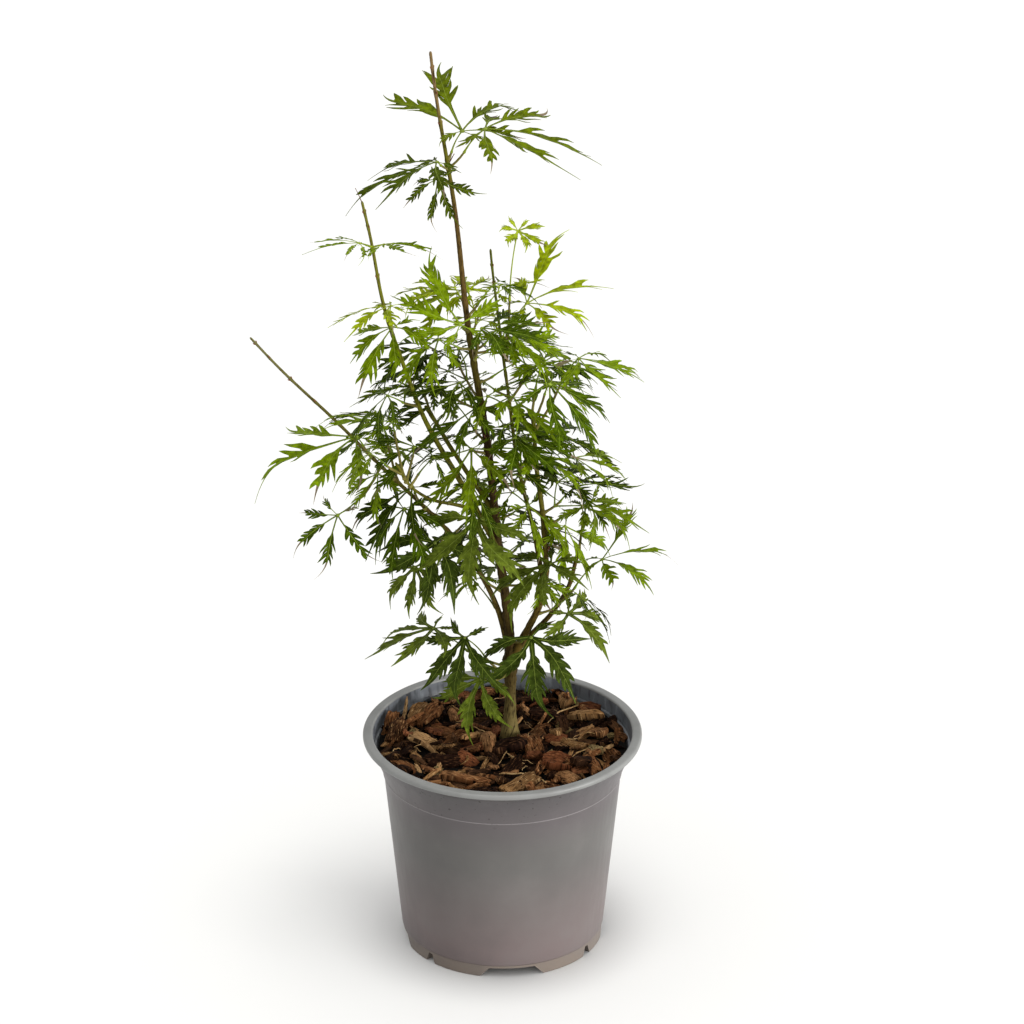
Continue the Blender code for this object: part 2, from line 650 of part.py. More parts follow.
def pot_profile():
    """Half section of the pot, from the middle of its underside round to its floor."""
    foot_inner = FOOT_RADIUS - FOOT_WIDTH
    profile = [(0.0, 0.0), (PAD_RADIUS, 0.0), (PAD_RADIUS, FLOOR_UNDER), (foot_inner, FLOOR_UNDER)]
    profile += [(foot_inner, 0.0), (FOOT_RADIUS, 0.0), (FOOT_RADIUS, FOOT_HEIGHT)]
    profile += [(WALL_FOOT_RADIUS, FOOT_HEIGHT), (NECK_RADIUS, NECK_HEIGHT)]
    lip = POT_HEIGHT - RIM_ROUND
    flare = [NECK_HEIGHT + (lip - NECK_HEIGHT) * step / FLARE_STEPS for step in range(1, FLARE_STEPS + 1)]
    profile += [(wall_radius(height), height) for height in flare]
    profile += [(RIM_RADIUS, POT_HEIGHT - RIM_ROUND * 0.5), (RIM_RADIUS - RIM_ROUND * 0.6, POT_HEIGHT)]
    profile += [(RIM_RADIUS - RIM_WIDTH + RIM_ROUND * 0.5, POT_HEIGHT)]
    profile += [(inner_radius(height), height) for height in reversed(flare[1:])]
    floor_top = FLOOR_UNDER + FLOOR
    profile += [(NECK_RADIUS - WALL, NECK_HEIGHT), (WALL_FOOT_RADIUS - WALL, floor_top + WALL)]
    profile += [(WALL_FOOT_RADIUS - 2 * WALL, floor_top), (0.0, floor_top)]
    return profile


def notch(turn, widths):
    """A cutter for one gap in the foot ring, wider at the ground."""
    near, far = FOOT_RADIUS - 2 * FOOT_WIDTH, FOOT_RADIUS + 2 * FOOT_WIDTH
    low_half, top_half = widths[0] / 2, widths[1] / 2
    low, top = -MM, NOTCH_HEIGHT
    lows = [(near, -low_half, low), (far, -low_half, low), (far, low_half, low), (near, low_half, low)]
    tops = [(near, -top_half, top), (far, -top_half, top), (far, top_half, top), (near, top_half, top)]
    spin = Matrix.Rotation(math.radians(turn), 3, "Z")
    verts, faces = box_between(lows, tops)
    return [spin @ vert for vert in verts], faces


def drain(turn):
    centre = pointing(turn, 0) * DRAIN_RING
    points = [centre - UP * FLOOR, centre + UP * (FLOOR_UNDER + 2 * FLOOR)]
    return tube(points, [DRAIN_RADIUS] * 2, DRAIN_SIDES)


def make_pot():
    pot = add_object("pot", lathe(pot_profile(), POT_SIDES), pot_material())
    notch_turn, drain_turn = 360 / NOTCHES, 360 / DRAINS
    front = NOTCH_START - 90
    notches = [notch(front + step * notch_turn, WIDE_NOTCH) for step in range(NOTCHES)]
    notches += [notch(front + turn, NARROW_NOTCH) for turn in NARROW_TURNS]
    drains = [drain((step + 0.5) * drain_turn) for step in range(DRAINS)]
    cut(pot, [add_object("notches", joined(notches), pot_material()),
              add_object("drains", joined(drains), pot_material())])
    shade_round(pot)


def make_compost():
    """The plug of compost that fills the pot up to the mulch."""
    floor_top = FLOOR_UNDER + FLOOR + GAP
    heights = [floor_top + WALL, NECK_HEIGHT, (NECK_HEIGHT + COMPOST_TOP) / 2, COMPOST_TOP]
    profile = [(0.0, floor_top), (WALL_FOOT_RADIUS - 2 * WALL - GAP, floor_top)]
    profile += [(inner_radius(height) - GAP, height) for height in heights]
    profile += [(0.0, COMPOST_TOP)]
    shade_round(add_object("compost", lathe(profile, POT_SIDES), compost_material()))


def bark_chip(chance, radius, turn):
    """One split piece of bark, lying loosely on the layer."""
    half_length = chance.uniform(*CHIP_LENGTH) / 2
    half_width = chance.uniform(*CHIP_WIDTH) / 2
    half_thick = chance.uniform(*CHIP_THICK) / 2
    lows, highs = [], []
    for x, y in ((-1, -1), (1, -1), (1, 1), (-1, 1)):
        ragged = chance.uniform(0.7, 1.0)
        corner = Vector((x * half_length * ragged, y * half_width * ragged, -half_thick))
        lows.append(corner)
        highs.append(Vector((corner.x * CHIP_TAPER[0], corner.y * CHIP_TAPER[1], half_thick)))
    lie = Matrix.Rotation(chance.uniform(0, math.tau), 3, "Z")
    for axis in ("Y", "X"):
        lie = lie @ Matrix.Rotation(math.radians(chance.uniform(-CHIP_TILT, CHIP_TILT)), 3, axis)
    verts, faces = box_between(lows, highs)
    turned = [lie @ vert for vert in verts]
    lowest = min(vert.z for vert in turned)
    height = max(MULCH_TOP + chance.uniform(*CHIP_LIFT), COMPOST_TOP + CHIP_SINK - lowest)
    centre = Vector((radius * math.cos(turn), radius * math.sin(turn), height))
    return [centre + vert for vert in turned], faces


def make_mulch(trunk):
    """The layer of bark chips, open round the trunk."""
    bottom = COMPOST_TOP + GAP
    profile = [(0.0, bottom), (inner_radius(bottom) - 2 * GAP, bottom)]
    profile += [(inner_radius(MULCH_TOP) - 2 * GAP, MULCH_TOP), (0.0, MULCH_TOP)]
    mulch = add_object("bark_mulch", lathe(profile, MULCH_SIDES), mulch_material())
    chance = random.Random(CHIP_SEED)
    reach = inner_radius(MULCH_TOP) - CHIP_LENGTH[1] / 2 - CHIP_INSET
    golden = math.pi * (3 - math.sqrt(5))
    chips = []
    for index in range(CHIP_COUNT):
        radius = reach * math.sqrt((index + 0.5) / CHIP_COUNT) + chance.uniform(-1, 1) * CHIP_SCATTER
        chips.append(bark_chip(chance, min(abs(radius), reach), index * golden))
    fuse(mulch, [add_object("chip", chip, mulch_material()) for chip in chips])
    places = ring_places(trunk, STEM_RING_GAP)[:3]
    points = [trunk.at(place)[0] for place in places]
    radii = [trunk.radius(place) + GAP for place in places]
    well = tube([points[0] - UP * WELL_DEPTH, *points], [radii[0], *radii], TRUNK_SIDES)
    cut(mulch, [add_object("well", well, mulch_material())])


def make_stems(stems):
    """The trunk, and the boughs with their feet cut back from what carries them."""
    parents = {row[0]: row[1] for row in STEMS}
    for name, stem in stems.items():
        carrier = parents[name]
        sides = BOUGH_SIDES if carrier else TRUNK_SIDES
        item = add_object(name, stem_solid(stem, sides, STEM_RING_GAP), bark_material())
        cutters = []
        while carrier:
            shape = stem_solid(stems[carrier], TRUNK_SIDES, STEM_RING_GAP, GAP)
            cutters.append(add_object("cutter", shape, bark_material()))
            carrier = parents[carrier]
        if cutters:
            cut(item, cutters)
        shade_round(item)


def make_mass(name, twig, leaves, tint):
    finish = leaf_material(tint)
    item = add_object("foliage_" + name, stem_solid(twig, 3, TWIG_RING_GAP), finish)
    extras = []
    for leaf in leaves:
        extras.append(add_object("blade", blade_solid(leaf), finish))
        extras.append(add_object("stalk", stalk_solid(leaf, 3), finish))
    fuse(item, extras)


def main():
    clear_scene()
    stems, masses = grow_plant()
    make_pot()
    make_compost()
    make_mulch(stems["trunk"])
    make_stems(stems)
    for mass in MASSES:
        twig, leaves = masses[mass[0]]
        make_mass(mass[0], twig, leaves, mass[-1])


if __name__ == "__main__":
    main()
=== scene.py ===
"""Looks of the potted japanese maple: pot, compost, bark chips, limbs, stalks and leaves.

Metres, +Z up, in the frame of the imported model. The plant grows by the same rule as the
solids: stems are swept along curves, each mass is a twig with long-stalked leaves, and a
leaf that would touch its neighbours is skipped. Each leaf is then drawn in its own
outline, with teeth, veins and thin tails.
"""
import random
from math import ceil, cos, exp, hypot, pi, radians, sin, sqrt, tan, tau

import bpy
from mathutils import Matrix, Vector, noise
from mathutils.bvhtree import BVHTree


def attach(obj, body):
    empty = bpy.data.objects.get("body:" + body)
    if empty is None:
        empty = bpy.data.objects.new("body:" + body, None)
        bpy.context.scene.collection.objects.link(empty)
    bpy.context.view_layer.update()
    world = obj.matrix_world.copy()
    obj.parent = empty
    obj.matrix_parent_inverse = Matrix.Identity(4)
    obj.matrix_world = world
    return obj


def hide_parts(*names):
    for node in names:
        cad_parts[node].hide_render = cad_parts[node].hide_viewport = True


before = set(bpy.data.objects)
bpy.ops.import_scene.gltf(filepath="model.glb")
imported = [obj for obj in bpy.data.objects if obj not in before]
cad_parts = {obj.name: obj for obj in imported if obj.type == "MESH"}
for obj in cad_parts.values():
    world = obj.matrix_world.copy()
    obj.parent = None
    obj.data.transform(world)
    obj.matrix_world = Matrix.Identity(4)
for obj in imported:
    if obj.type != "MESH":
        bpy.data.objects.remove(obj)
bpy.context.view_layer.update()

MM = 0.001
GAP = 0.3 * MM
UP = Vector((0.0, 0.0, 1.0))
COMPOST_TOP = 128 * MM
GOLDEN_TURN = 137.5  # degrees from one leaf to the next round a stem
ROOT = "root"

# ---------------------------------------------------------------- how the plant grows

# Stems: name, parent, place along the parent, length, heading, lean at the foot and at
# the tip, part of the length over which it turns, radius at the foot and at the tip.
TRUNK_FOOT = Vector((5 * MM, 6 * MM, COMPOST_TOP + GAP))
TRUNK_FLARE = 2.0 * MM
TRUNK_FLARE_HEIGHT = 15 * MM
PATH_STEPS = 240
TAPER_POWER = 0.7
STEMS = (
    ("trunk", None, 0.0, 511 * MM, 180, 0, 7.1, (0.14, 0.30), 4.4 * MM, 1.1 * MM),
    ("bough_left_low", "trunk", 0.150, 290 * MM, 172, 12, 45, (0.05, 0.40), 2.2 * MM, 0.8 * MM),
    ("bough_left_leader", "trunk", 0.315, 268 * MM, 188, 28, 10, (0.15, 0.9), 2.3 * MM, 0.9 * MM),
    ("bough_left_inner", "bough_left_leader", 0.125, 86 * MM, 218, 66, 26, (0.3, 1.0), 1.3 * MM, 0.9 * MM),
    ("bough_left_stub", "trunk", 0.365, 86 * MM, 158, 38, 33, (0.0, 1.0), 1.8 * MM, 1.3 * MM),
    ("bough_right", "trunk", 0.148, 190 * MM, 340, 27, -6, (0.10, 0.55), 2.8 * MM, 1.3 * MM),
    ("bough_right_low", "bough_right", 0.06, 82 * MM, 24, 52, 14, (0.2, 0.9), 2.0 * MM, 1.3 * MM),
    ("bough_back", "bough_right", 0.34, 232 * MM, 128, 20, 10, (0.1, 0.8), 1.7 * MM, 0.8 * MM),
)
STEM_RING_GAP = 20 * MM
BOUGH_SIDES = 8
WOBBLE = 2.2  # degrees of lean that a stem wanders
WOBBLE_WAVES = 3.0
WOBBLE_SIDEWAYS = 0.7  # waves to the side for each wave of lean
WOBBLE_START = 0.15  # part of a stem over which the wander grows
STEM_SEED = 5

# Blades: seven lobes cut to the stalk; their angles, and their lengths as parts of the blade.
LOBES = ((-128, 0.40), (-82, 0.74), (-40, 0.93), (0, 1.0), (40, 0.93), (82, 0.74), (128, 0.40))
SHORT_LOBE = 0.5  # lobes shorter than this are plain points
LOBE_WIDEST = 0.45  # part of a lobe's length at which it is widest
LOBE_HALF_WIDTH = 0.076  # of the lobe's own length
HUB_RADIUS = 0.055  # of the blade's length
HUB_TURNS = (-152, -105, -61, -20, 20, 61, 105, 152)  # degrees; its corners beside the lobes
TIP_SAG = 0.28  # drop of a lobe's tip, as part of its length
BLADE_THICK = 0.9 * MM
BLADE_SIZE = (0.90, 1.08)  # of the mass's blade length
BLADE_TILT = 14  # degrees either way round the blade's middle line
LONE_DROOP = 3  # the same for a mass of one leaf
BLADE_DROOP = 8  # degrees either way of the mass's droop

# Stalks and twigs
TWIG_RADIUS = 1.1 * MM
TWIG_TAPER = 0.8
TWIG_CURL = 10  # degrees that a twig turns up along its length
TWIG_RING_GAP = 16 * MM
TWIG_LEAFY = 0.8  # outer part of a twig that carries leaves
STALK_RADIUS = 0.8 * MM
STALK_SIZE = (0.88, 1.12)  # of the mass's stalk length
STALK_ANGLE = (50, 66)  # degrees between the twig and the stalk of a side leaf
STALK_LIFT = 0.35  # how far a stalk turns up from its twig
STALK_LEVEL = 0.4  # how far its outer half turns to the level
STEEP_STALK = 0.25  # a stalk with less level run than this takes its twig's heading
STEEP_TURN = 70  # and this many degrees to its own side
PAIR_TURN = 90  # degrees from one pair to the next
ROLL_SPREAD = 12  # degrees either way round the twig
TURN_SPREAD = 6  # degrees either way round the vertical
RETRY_ROLL = 4  # degrees that each further try adds to the roll
RETRY_TURN = 8  # degrees that it adds to the turn

# Room
CLEARANCE = 0.6 * MM  # air that is kept round a leaf
TRIES = 8
MIDDLE_LOBE = 3
FEWEST_LOBES = 5  # a leaf with less room than this is skipped
SIDES_IN_TEST = (5, 3)  # of a stalk that looks for room and of one that takes it

# Foliage: mass, stem it grows on, place along that stem, heading, rise and length of its
# twig, leaves, blade length, stalk length, droop of the blades, turn of the end leaf from
# the way its stalk points, and tint.
MASSES = (
    ("top_back", "trunk", 0.855, 24, 60, 2, 1, 70, 15, -5, 74, "young"),
    ("top_right", "trunk", 0.845, 344, 45, 13, 1, 70, 24, 0, 18, "young"),
    ("top_left", "trunk", 0.845, 241, 25, 8.5, 1, 64, 6, 10, -52, "young"),
    ("top_hang", "trunk", 0.825, 234, 19, 7, 1, 48, 6, 58, 10, "young"),
    ("leader_mid", "bough_left_leader", 0.68, 289, 64, 4, 1, 50, 8, 4, -107, "young"),
    ("leader_low", "bough_left_leader", 0.645, 270, 33, 6, 1, 50, 8, 35, -36, "young"),
    ("crown_front", "trunk", 0.62, 251, 27, 8.5, 1, 60, 10, -50, -120, "mid"),
    ("crown_left", "trunk", 0.66, 133, 26, 2, 1, 48, 9, -4, 45, "young"),
    ("crown_mid", "trunk", 0.575, 294, 65, 12, 1, 56, 16, -10, 81, "mid"),
    ("crown_right", "trunk", 0.59, 4, 3, 7, 1, 52, 20, 10, -19, "mid"),
    ("mid_near", "trunk", 0.45, 203, 15, 9, 2, 50, 14, 25, -11, "dark"),
    ("right_under", "bough_right", 0.55, 34, -21, 3, 1, 48, 12, 45, -69, "mid"),
    ("right_far", "bough_right", 0.93, 9, 57, 32, 1, 50, 26, 2, -3, "mid"),
    ("right_tip", "bough_right", 0.965, 301, 56, 24.5, 1, 62, 12, 26, 12, "mid"),
    ("right_top", "bough_right", 1.0, 41, 80, 16.5, 1, 54, 20, -25, 109, "mid"),
    ("mid_pale", "trunk", 0.485, 251, 43, 17, 1, 56, 8, 22, -54, "mid"),
    ("mid_front", "trunk", 0.455, 313, 23, 11.5, 3, 60, 18, 8, 38, "mid"),
    ("mid_right", "trunk", 0.51, 286, 44, 9.5, 1, 52, 8, 12, 48, "dark"),
    ("low_front", "trunk", 0.37, 244, -7, 12, 1, 62, 12, 45, 7, "dark"),
    ("right_front", "bough_right", 0.4, 282, 33, 6.5, 1, 60, 8, 28, -65, "mid"),
    ("left_under", "bough_left_low", 0.32, 227, 8, 11.5, 1, 52, 12, 45, 23, "mid"),
    ("left_drop", "bough_left_low", 0.36, 218, -57, 14.5, 1, 42, 16, 62, 28, "mid"),
    ("left_foot", "bough_left_low", 0.45, 256, 41, 15.5, 1, 58, 10, 38, -32, "dark"),
    ("left_fall", "bough_left_low", 0.43, 239, 10, 13.5, 1, 50, 12, 60, 12, "mid"),
    ("left_small", "bough_left_low", 0.53, 232, 21, 8.5, 1, 40, 8, 35, -14, "mid"),
    ("left_hang", "bough_left_low", 0.575, 207, -60, 21, 1, 48, 24, 50, 36, "mid"),
    ("left_tip", "bough_left_low", 0.6, 216, 52, 8.5, 1, 68, 10, 10, -20, "mid"),
    ("inner_tip", "bough_left_inner", 0.84, 102, 25, 36, 1, 50, 8, -12, 58, "mid"),
    ("inner_side", "bough_left_inner", 0.8, 79, 18, 21.5, 1, 46, 8, 30, 146, "mid"),
    ("low_right", "trunk", 0.175, 310, 17, 8.5, 1, 56, 12, 45, -35, "dark"),
    ("low_left", "trunk", 0.12, 207, 43, 21.5, 1, 50, 22, 45, 52, "dark"),
    ("low_far", "trunk", 0.135, 187, 23, 28.5, 1, 50, 30, 20, 19, "dark"),
    ("low_foot", "trunk", 0.13, 237, 0, 16, 1, 48, 12, 50, 19, "dark"),
    ("low_tail", "bough_right_low", 0.42, 314, -3, 3.5, 1, 48, 10, 38, 26, "mid"),
    ("right_end", "bough_right_low", 0.5, 338, 46, 11.5, 1, 58, 32, -4, 21, "mid"),
    ("right_hang", "bough_right_low", 1.0, 305, 80, 20.5, 1, 40, 20, 58, -5, "dark"),
    ("back_shoot", "bough_back", 0.63, 69, 78, 39, 1, 24, 46, 40, -149, "young"),
    ("back_top", "bough_back", 0.72, 358, 58, 9.5, 1, 58, 20, -10, 20, "young"),
    ("leader_top", "bough_left_leader", 0.875, 270, 25, 4, 2, 38, 10, -14, 0, "young"),
    ("crown_back", "trunk", 0.610, 75, 15, 22, 4, 46, 22, 5, 0, "young"),
    ("mid_left", "trunk", 0.510, 180, 20, 14, 3, 42, 18, 6, 0, "dark"),
    ("mid_back", "trunk", 0.520, 120, 25, 30, 4, 48, 24, 15, 0, "dark"),
    ("low_back", "trunk", 0.215, 100, 30, 38, 4, 46, 24, 25, 0, "dark"),
    ("left_back", "bough_left_low", 0.52, 105, 25, 30, 3, 46, 24, 20, 0, "mid"),
    ("stub_tip", "bough_left_stub", 0.90, 110, 30, 16, 3, 46, 22, 18, 0, "dark"),
    ("right_mid", "bough_right", 0.80, 0, 20, 8, 2, 52, 18, 2, 0, "dark"),
    ("right_low", "bough_right", 0.62, 350, 35, 12, 3, 46, 18, 0, 0, "dark"),
    ("back_mid", "bough_back", 0.55, 60, 20, 26, 4, 48, 24, 16, 0, "mid"),
    ("back_low", "bough_back", 0.30, 75, 10, 36, 4, 46, 24, 28, 0, "dark"),
)
LEAF_FLOOR = 154.5 * MM  # no leaf hangs lower than the pot's rim
CROWN_RADIUS = 185 * MM
LEAF_SEED = 40


def smooth_step(low, high, value):
    ratio = min(max((value - low) / (high - low), 0.0), 1.0)
    return ratio * ratio * (3.0 - 2.0 * ratio)


def pointing(heading, rise):
    """Unit vector at a heading and a rise, both in degrees."""
    turn, lift = radians(heading), radians(rise)
    return Vector((cos(turn) * cos(lift), sin(turn) * cos(lift), sin(lift)))


class Stem:
    """A tapering stem: its centre line, its radius and the way it points."""

    def __init__(self, foot, length, heading, leans, turn, radii, flare=0.0, seed=0):
        self.length = length
        self.radii = radii
        self.flare = flare
        chance = random.Random(seed)
        phase = chance.uniform(0.0, tau)
        drift = chance.uniform(0.0, tau)
        self.points = [Vector(foot)]
        for step in range(PATH_STEPS):
            part = (step + 0.5) / PATH_STEPS
            lean = leans[0] + (leans[1] - leans[0]) * smooth_step(turn[0], turn[1], part)
            settle = smooth_step(0.0, WOBBLE_START, part)
            swing = tau * WOBBLE_WAVES * part
            lean += WOBBLE * settle * sin(swing + phase)
            side = WOBBLE * settle * sin(swing * WOBBLE_SIDEWAYS + drift)
            along = pointing(heading, 90.0 - lean)
            across = pointing(heading + 90.0, 0.0) * tan(radians(side))
            self.points.append(self.points[-1] + (along + across).normalized() * length / PATH_STEPS)

    def at(self, part):
        """Point of the centre line and the way it points there."""
        place = min(max(part, 0.0), 1.0) * PATH_STEPS
        index = min(int(place), PATH_STEPS - 1)
        low, high = self.points[index], self.points[index + 1]
        return low.lerp(high, place - index), (high - low).normalized()

    def radius(self, part):
        taper = self.radii[0] + (self.radii[1] - self.radii[0]) * part ** TAPER_POWER
        return taper + self.flare * exp(-part * self.length / TRUNK_FLARE_HEIGHT)


def grow_stems():
    """Every stem by name, the trunk first."""
    stems = {}
    for index, (name, parent, along, length, heading, lean, tip_lean, turn, *radii) in enumerate(STEMS):
        foot = stems[parent].at(along)[0] if parent else TRUNK_FOOT
        flare = 0.0 if parent else TRUNK_FLARE
        stems[name] = Stem(foot, length, heading, (lean, tip_lean), turn, radii, flare, STEM_SEED + index)
    return stems


class Leaf:
    """One leaf: its stalk's centre line, and where and how its blade lies."""

    def __init__(self, stalk, forward, normal, size):
        self.stalk = stalk
        self.hub = stalk[-1]
        self.forward = forward
        self.normal = normal
        self.size = size
        self.lobes = tuple(range(len(LOBES)))

    def place(self, ahead, aside, rise):
        left = self.normal.cross(self.forward)
        return self.hub + self.forward * ahead + left * aside + self.normal * rise


def leaf_at(node, heading, twig_way, roll, side, mass, chance, effort):
    """A leaf whose stalk leaves the twig at node, on one side of it or, with side 0, at its end."""
    _, _, _, _, _, _, count, blade, stalk, droop, facing, _ = mass
    level = twig_way.cross(UP).normalized()
    lift = level.cross(twig_way)
    angle = radians(chance.uniform(*STALK_ANGLE)) if side else 0.0
    spin = radians(roll + chance.uniform(-1, 1) * (ROLL_SPREAD + RETRY_ROLL * effort))
    across = (level * cos(spin) + lift * sin(spin)) * (side or 1)
    way = twig_way * cos(angle) + across * sin(angle)
    turn = radians(chance.uniform(-1, 1) * (TURN_SPREAD + RETRY_TURN * effort))
    way = Matrix.Rotation(turn, 3, "Z") @ (way + UP * STALK_LIFT).normalized()
    half_stalk = stalk * MM * chance.uniform(*STALK_SIZE) / 2
    bend = node + way * half_stalk
    level_way = Vector((way.x, way.y, 0.0))
    if level_way.length < STEEP_STALK:
        level_way = pointing(heading + STEEP_TURN * side, 0)
    level_way.normalize()
    hub = bend + way.lerp(level_way, STALK_LEVEL).normalized() * half_stalk
    pitch = radians(droop + chance.uniform(-1, 1) * (BLADE_DROOP if count > 1 else LONE_DROOP))
    if not side:
        level_way = Matrix.Rotation(radians(facing), 3, "Z") @ level_way
    forward = level_way * cos(pitch) - UP * sin(pitch)
    normal = (UP * cos(pitch) + level_way * sin(pitch)).normalized()
    tilt = Matrix.Rotation(radians(chance.uniform(-BLADE_TILT, BLADE_TILT)), 3, forward)
    size = blade * MM * chance.uniform(*BLADE_SIZE)
    return Leaf([node, bend, hub], forward, tilt @ normal, size)


def circle(sides, start=0.0):
    """Cosine and sine of equal turns all the way round."""
    turns = [tau * (step + start) / sides for step in range(sides)]
    return [(cos(turn), sin(turn)) for turn in turns]


def ring_faces(rings, sides):
    """Faces of a tube between rings of points: its side, then its first and last end."""
    faces = []
    for low in range((rings - 1) * sides):
        beside = low + 1 if (low + 1) % sides else low + 1 - sides
        faces.append((low, beside, beside + sides, low + sides))
    return faces + [tuple(reversed(range(sides))), tuple(range((rings - 1) * sides, rings * sides))]


def tube(points, radii, sides):
    """A closed tube along points, as vertices and faces."""
    across = (points[1] - points[0]).normalized().orthogonal().normalized()
    verts = []
    for index, point in enumerate(points):
        ahead = points[min(index + 1, len(points) - 1)] - points[max(index - 1, 0)]
        across = (across - ahead * across.dot(ahead) / ahead.length_squared).normalized()
        other = ahead.normalized().cross(across)
        verts += [point + (across * x + other * y) * radii[index] for x, y in circle(sides)]
    return verts, ring_faces(len(points), sides)


def blade_solid(leaf, swell=0.0, lobes=None):
    """The leaf's blade as a thin solid with the given lobes; swell grows it on every side.

    Lobes run from the hub's rim to a widest place and on to a point.
    """
    half, hub_radius = BLADE_THICK / 2 + swell, HUB_RADIUS * leaf.size + swell
    verts, faces = [], []

    def pair(x, y, z, up=half):
        verts.extend((leaf.place(x, y, z + up), leaf.place(x, y, z - up)))
        return len(verts) - 2

    turns = [radians(turn) for turn in HUB_TURNS]
    hub = [pair(hub_radius * cos(turn), hub_radius * sin(turn), 0.0) for turn in turns]
    faces += [tuple(hub), tuple(index + 1 for index in reversed(hub))]
    faces.append((hub[0], hub[-1], hub[-1] + 1, hub[0] + 1))
    for index, (angle, share) in enumerate(LOBES):
        root, end = hub[index], hub[index + 1]
        if index not in (lobes or leaf.lobes):
            faces.append((end, root, root + 1, end + 1))
            continue
        length = share * leaf.size
        cosine, sine = cos(radians(angle)), sin(radians(angle))
        reach, sag = length + swell, TIP_SAG * length
        if swell:
            tip = pair(reach * cosine, reach * sine, -sag, swell)
            under = tip + 1
        else:
            tip = under = len(verts)
            verts.append(leaf.place(reach * cosine, reach * sine, -sag))
        if share > SHORT_LOBE:
            far, wide = LOBE_WIDEST * length, LOBE_HALF_WIDTH * length + swell
            drop = sag * LOBE_WIDEST ** 2
            right = pair(far * cosine + wide * sine, far * sine - wide * cosine, -drop)
            left = pair(far * cosine - wide * sine, far * sine + wide * cosine, -drop)
            faces += [(root, right, left, end), (end + 1, left + 1, right + 1, root + 1)]
            faces += [(right, root, root + 1, right + 1), (end, left, left + 1, end + 1)]
            root, end = right, left
        sides = ((tip, root, root + 1, under), (end, tip, under, end + 1))
        faces += [(root, tip, end), (end + 1, under, root + 1)]
        faces += [tuple(dict.fromkeys(side)) for side in sides]
    return verts, faces


def stalk_solid(leaf, sides, swell=0.0):
    return tube(leaf.stalk, [STALK_RADIUS + swell] * len(leaf.stalk), sides)


def stem_solid(stem, sides, ring_gap, swell=0.0):
    """A stem as a tube with rings about ring_gap apart, closed by a flat cut at both ends."""
    count = max(2, round(stem.length / ring_gap))
    places = [step / count for step in range(count + 1)]
    radii = [stem.radius(place) + swell for place in places]
    return tube([stem.at(place)[0] for place in places], radii, sides)


def twig_of(mass, stems):
    """The twig of a mass, its flat end standing clear of the stem that carries it."""
    _, carrier, along, heading, rise, reach, *_ = mass
    stem = stems[carrier]
    centre, tangent = stem.at(along)
    radius = TWIG_RADIUS
    if along == 1.0:
        foot = centre + tangent * GAP
        leans = TWIG_CURL, 90 - rise
        radius = min(TWIG_RADIUS, stem.radius(1.0))
    else:
        way = pointing(heading, rise)
        cosine = abs(way.dot(tangent))
        sine = sqrt(1.0 - cosine * cosine)
        foot = centre + way * (stem.radius(along) + GAP + TWIG_RADIUS * cosine) / sine
        leans = 90 - rise, 90 - rise - TWIG_CURL
    return Stem(foot, reach * MM, heading, leans, (0, 1), (radius, TWIG_RADIUS * TWIG_TAPER), seed=LEAF_SEED)


def grow_mass(mass, stems, taken):
    """The twig and leaves of one mass that keep clear of everything in taken."""
    name, _, _, heading, _, _, count, *_ = mass
    chance = random.Random(LEAF_SEED + sum(ord(letter) for letter in name))
    twig = twig_of(mass, stems)
    nodes = (count + 1) // 2
    leaves = []
    for index in range(nodes):
        node, way = twig.at(1.0 - index / nodes * TWIG_LEAFY)
        sides = (0,) if index == 0 and count % 2 else (1, -1)
        for side in sides:
            for effort in range(TRIES):
                leaf = leaf_at(node, heading, way, PAIR_TURN * index, side, mass, chance, effort)
                leaf.lobes = free_lobes(leaf, taken)
                if MIDDLE_LOBE in leaf.lobes and len(leaf.lobes) >= FEWEST_LOBES:
                    leaves.append(leaf)
                    break
    return twig, leaves


def tree_of(solid):
    return BVHTree.FromPolygons(*solid)


def trees_of_stems(stems):
    return [tree_of(stem_solid(stem, BOUGH_SIDES, STEM_RING_GAP)) for stem in stems.values()]


def tree_of_twig(twig):
    return tree_of(stem_solid(twig, SIDES_IN_TEST[0], TWIG_RING_GAP, CLEARANCE))


def trees_of_leaf(leaf):
    return [tree_of(blade_solid(leaf)), tree_of(stalk_solid(leaf, SIDES_IN_TEST[1]))]


def is_free(solid, taken):
    """True where a solid keeps to the crown's space and touches nothing in taken."""
    for vert in solid[0]:
        if vert.z < LEAF_FLOOR or hypot(vert.x, vert.y) > CROWN_RADIUS:
            return False
    tree = tree_of(solid)
    return not any(tree.overlap(other) for other in taken)


def free_lobes(leaf, taken):
    """The lobes that have room, or none where the stalk has no room."""
    if not is_free(stalk_solid(leaf, SIDES_IN_TEST[0], CLEARANCE), taken):
        return ()
    return tuple(lobe for lobe in leaf.lobes if is_free(blade_solid(leaf, CLEARANCE, (lobe,)), taken))


def grow_plant():
    """Stems and masses, each mass clear of the stems and of the masses before it."""
    stems = grow_stems()
    taken = trees_of_stems(stems)
    twigs = {mass[0]: tree_of_twig(twig_of(mass, stems)) for mass in MASSES}
    masses = {}
    for mass in MASSES:
        others = [tree for name, tree in twigs.items() if name != mass[0]]
        twig, leaves = grow_mass(mass, stems, taken + others)
        masses[mass[0]] = (twig, leaves)
        for leaf in leaves:
            taken += trees_of_leaf(leaf)
    return stems, masses


# ---------------------------------------------------------------- pieces and materials

def put(name, data):
    """A new object in the scene."""
    item = bpy.data.objects.new(name, data)
    bpy.context.scene.collection.objects.link(item)
    return item


def mesh_of(name, verts, faces):
    mesh = bpy.data.meshes.new(name)
    mesh.from_pydata([tuple(vert) for vert in verts], [], faces)
    return mesh


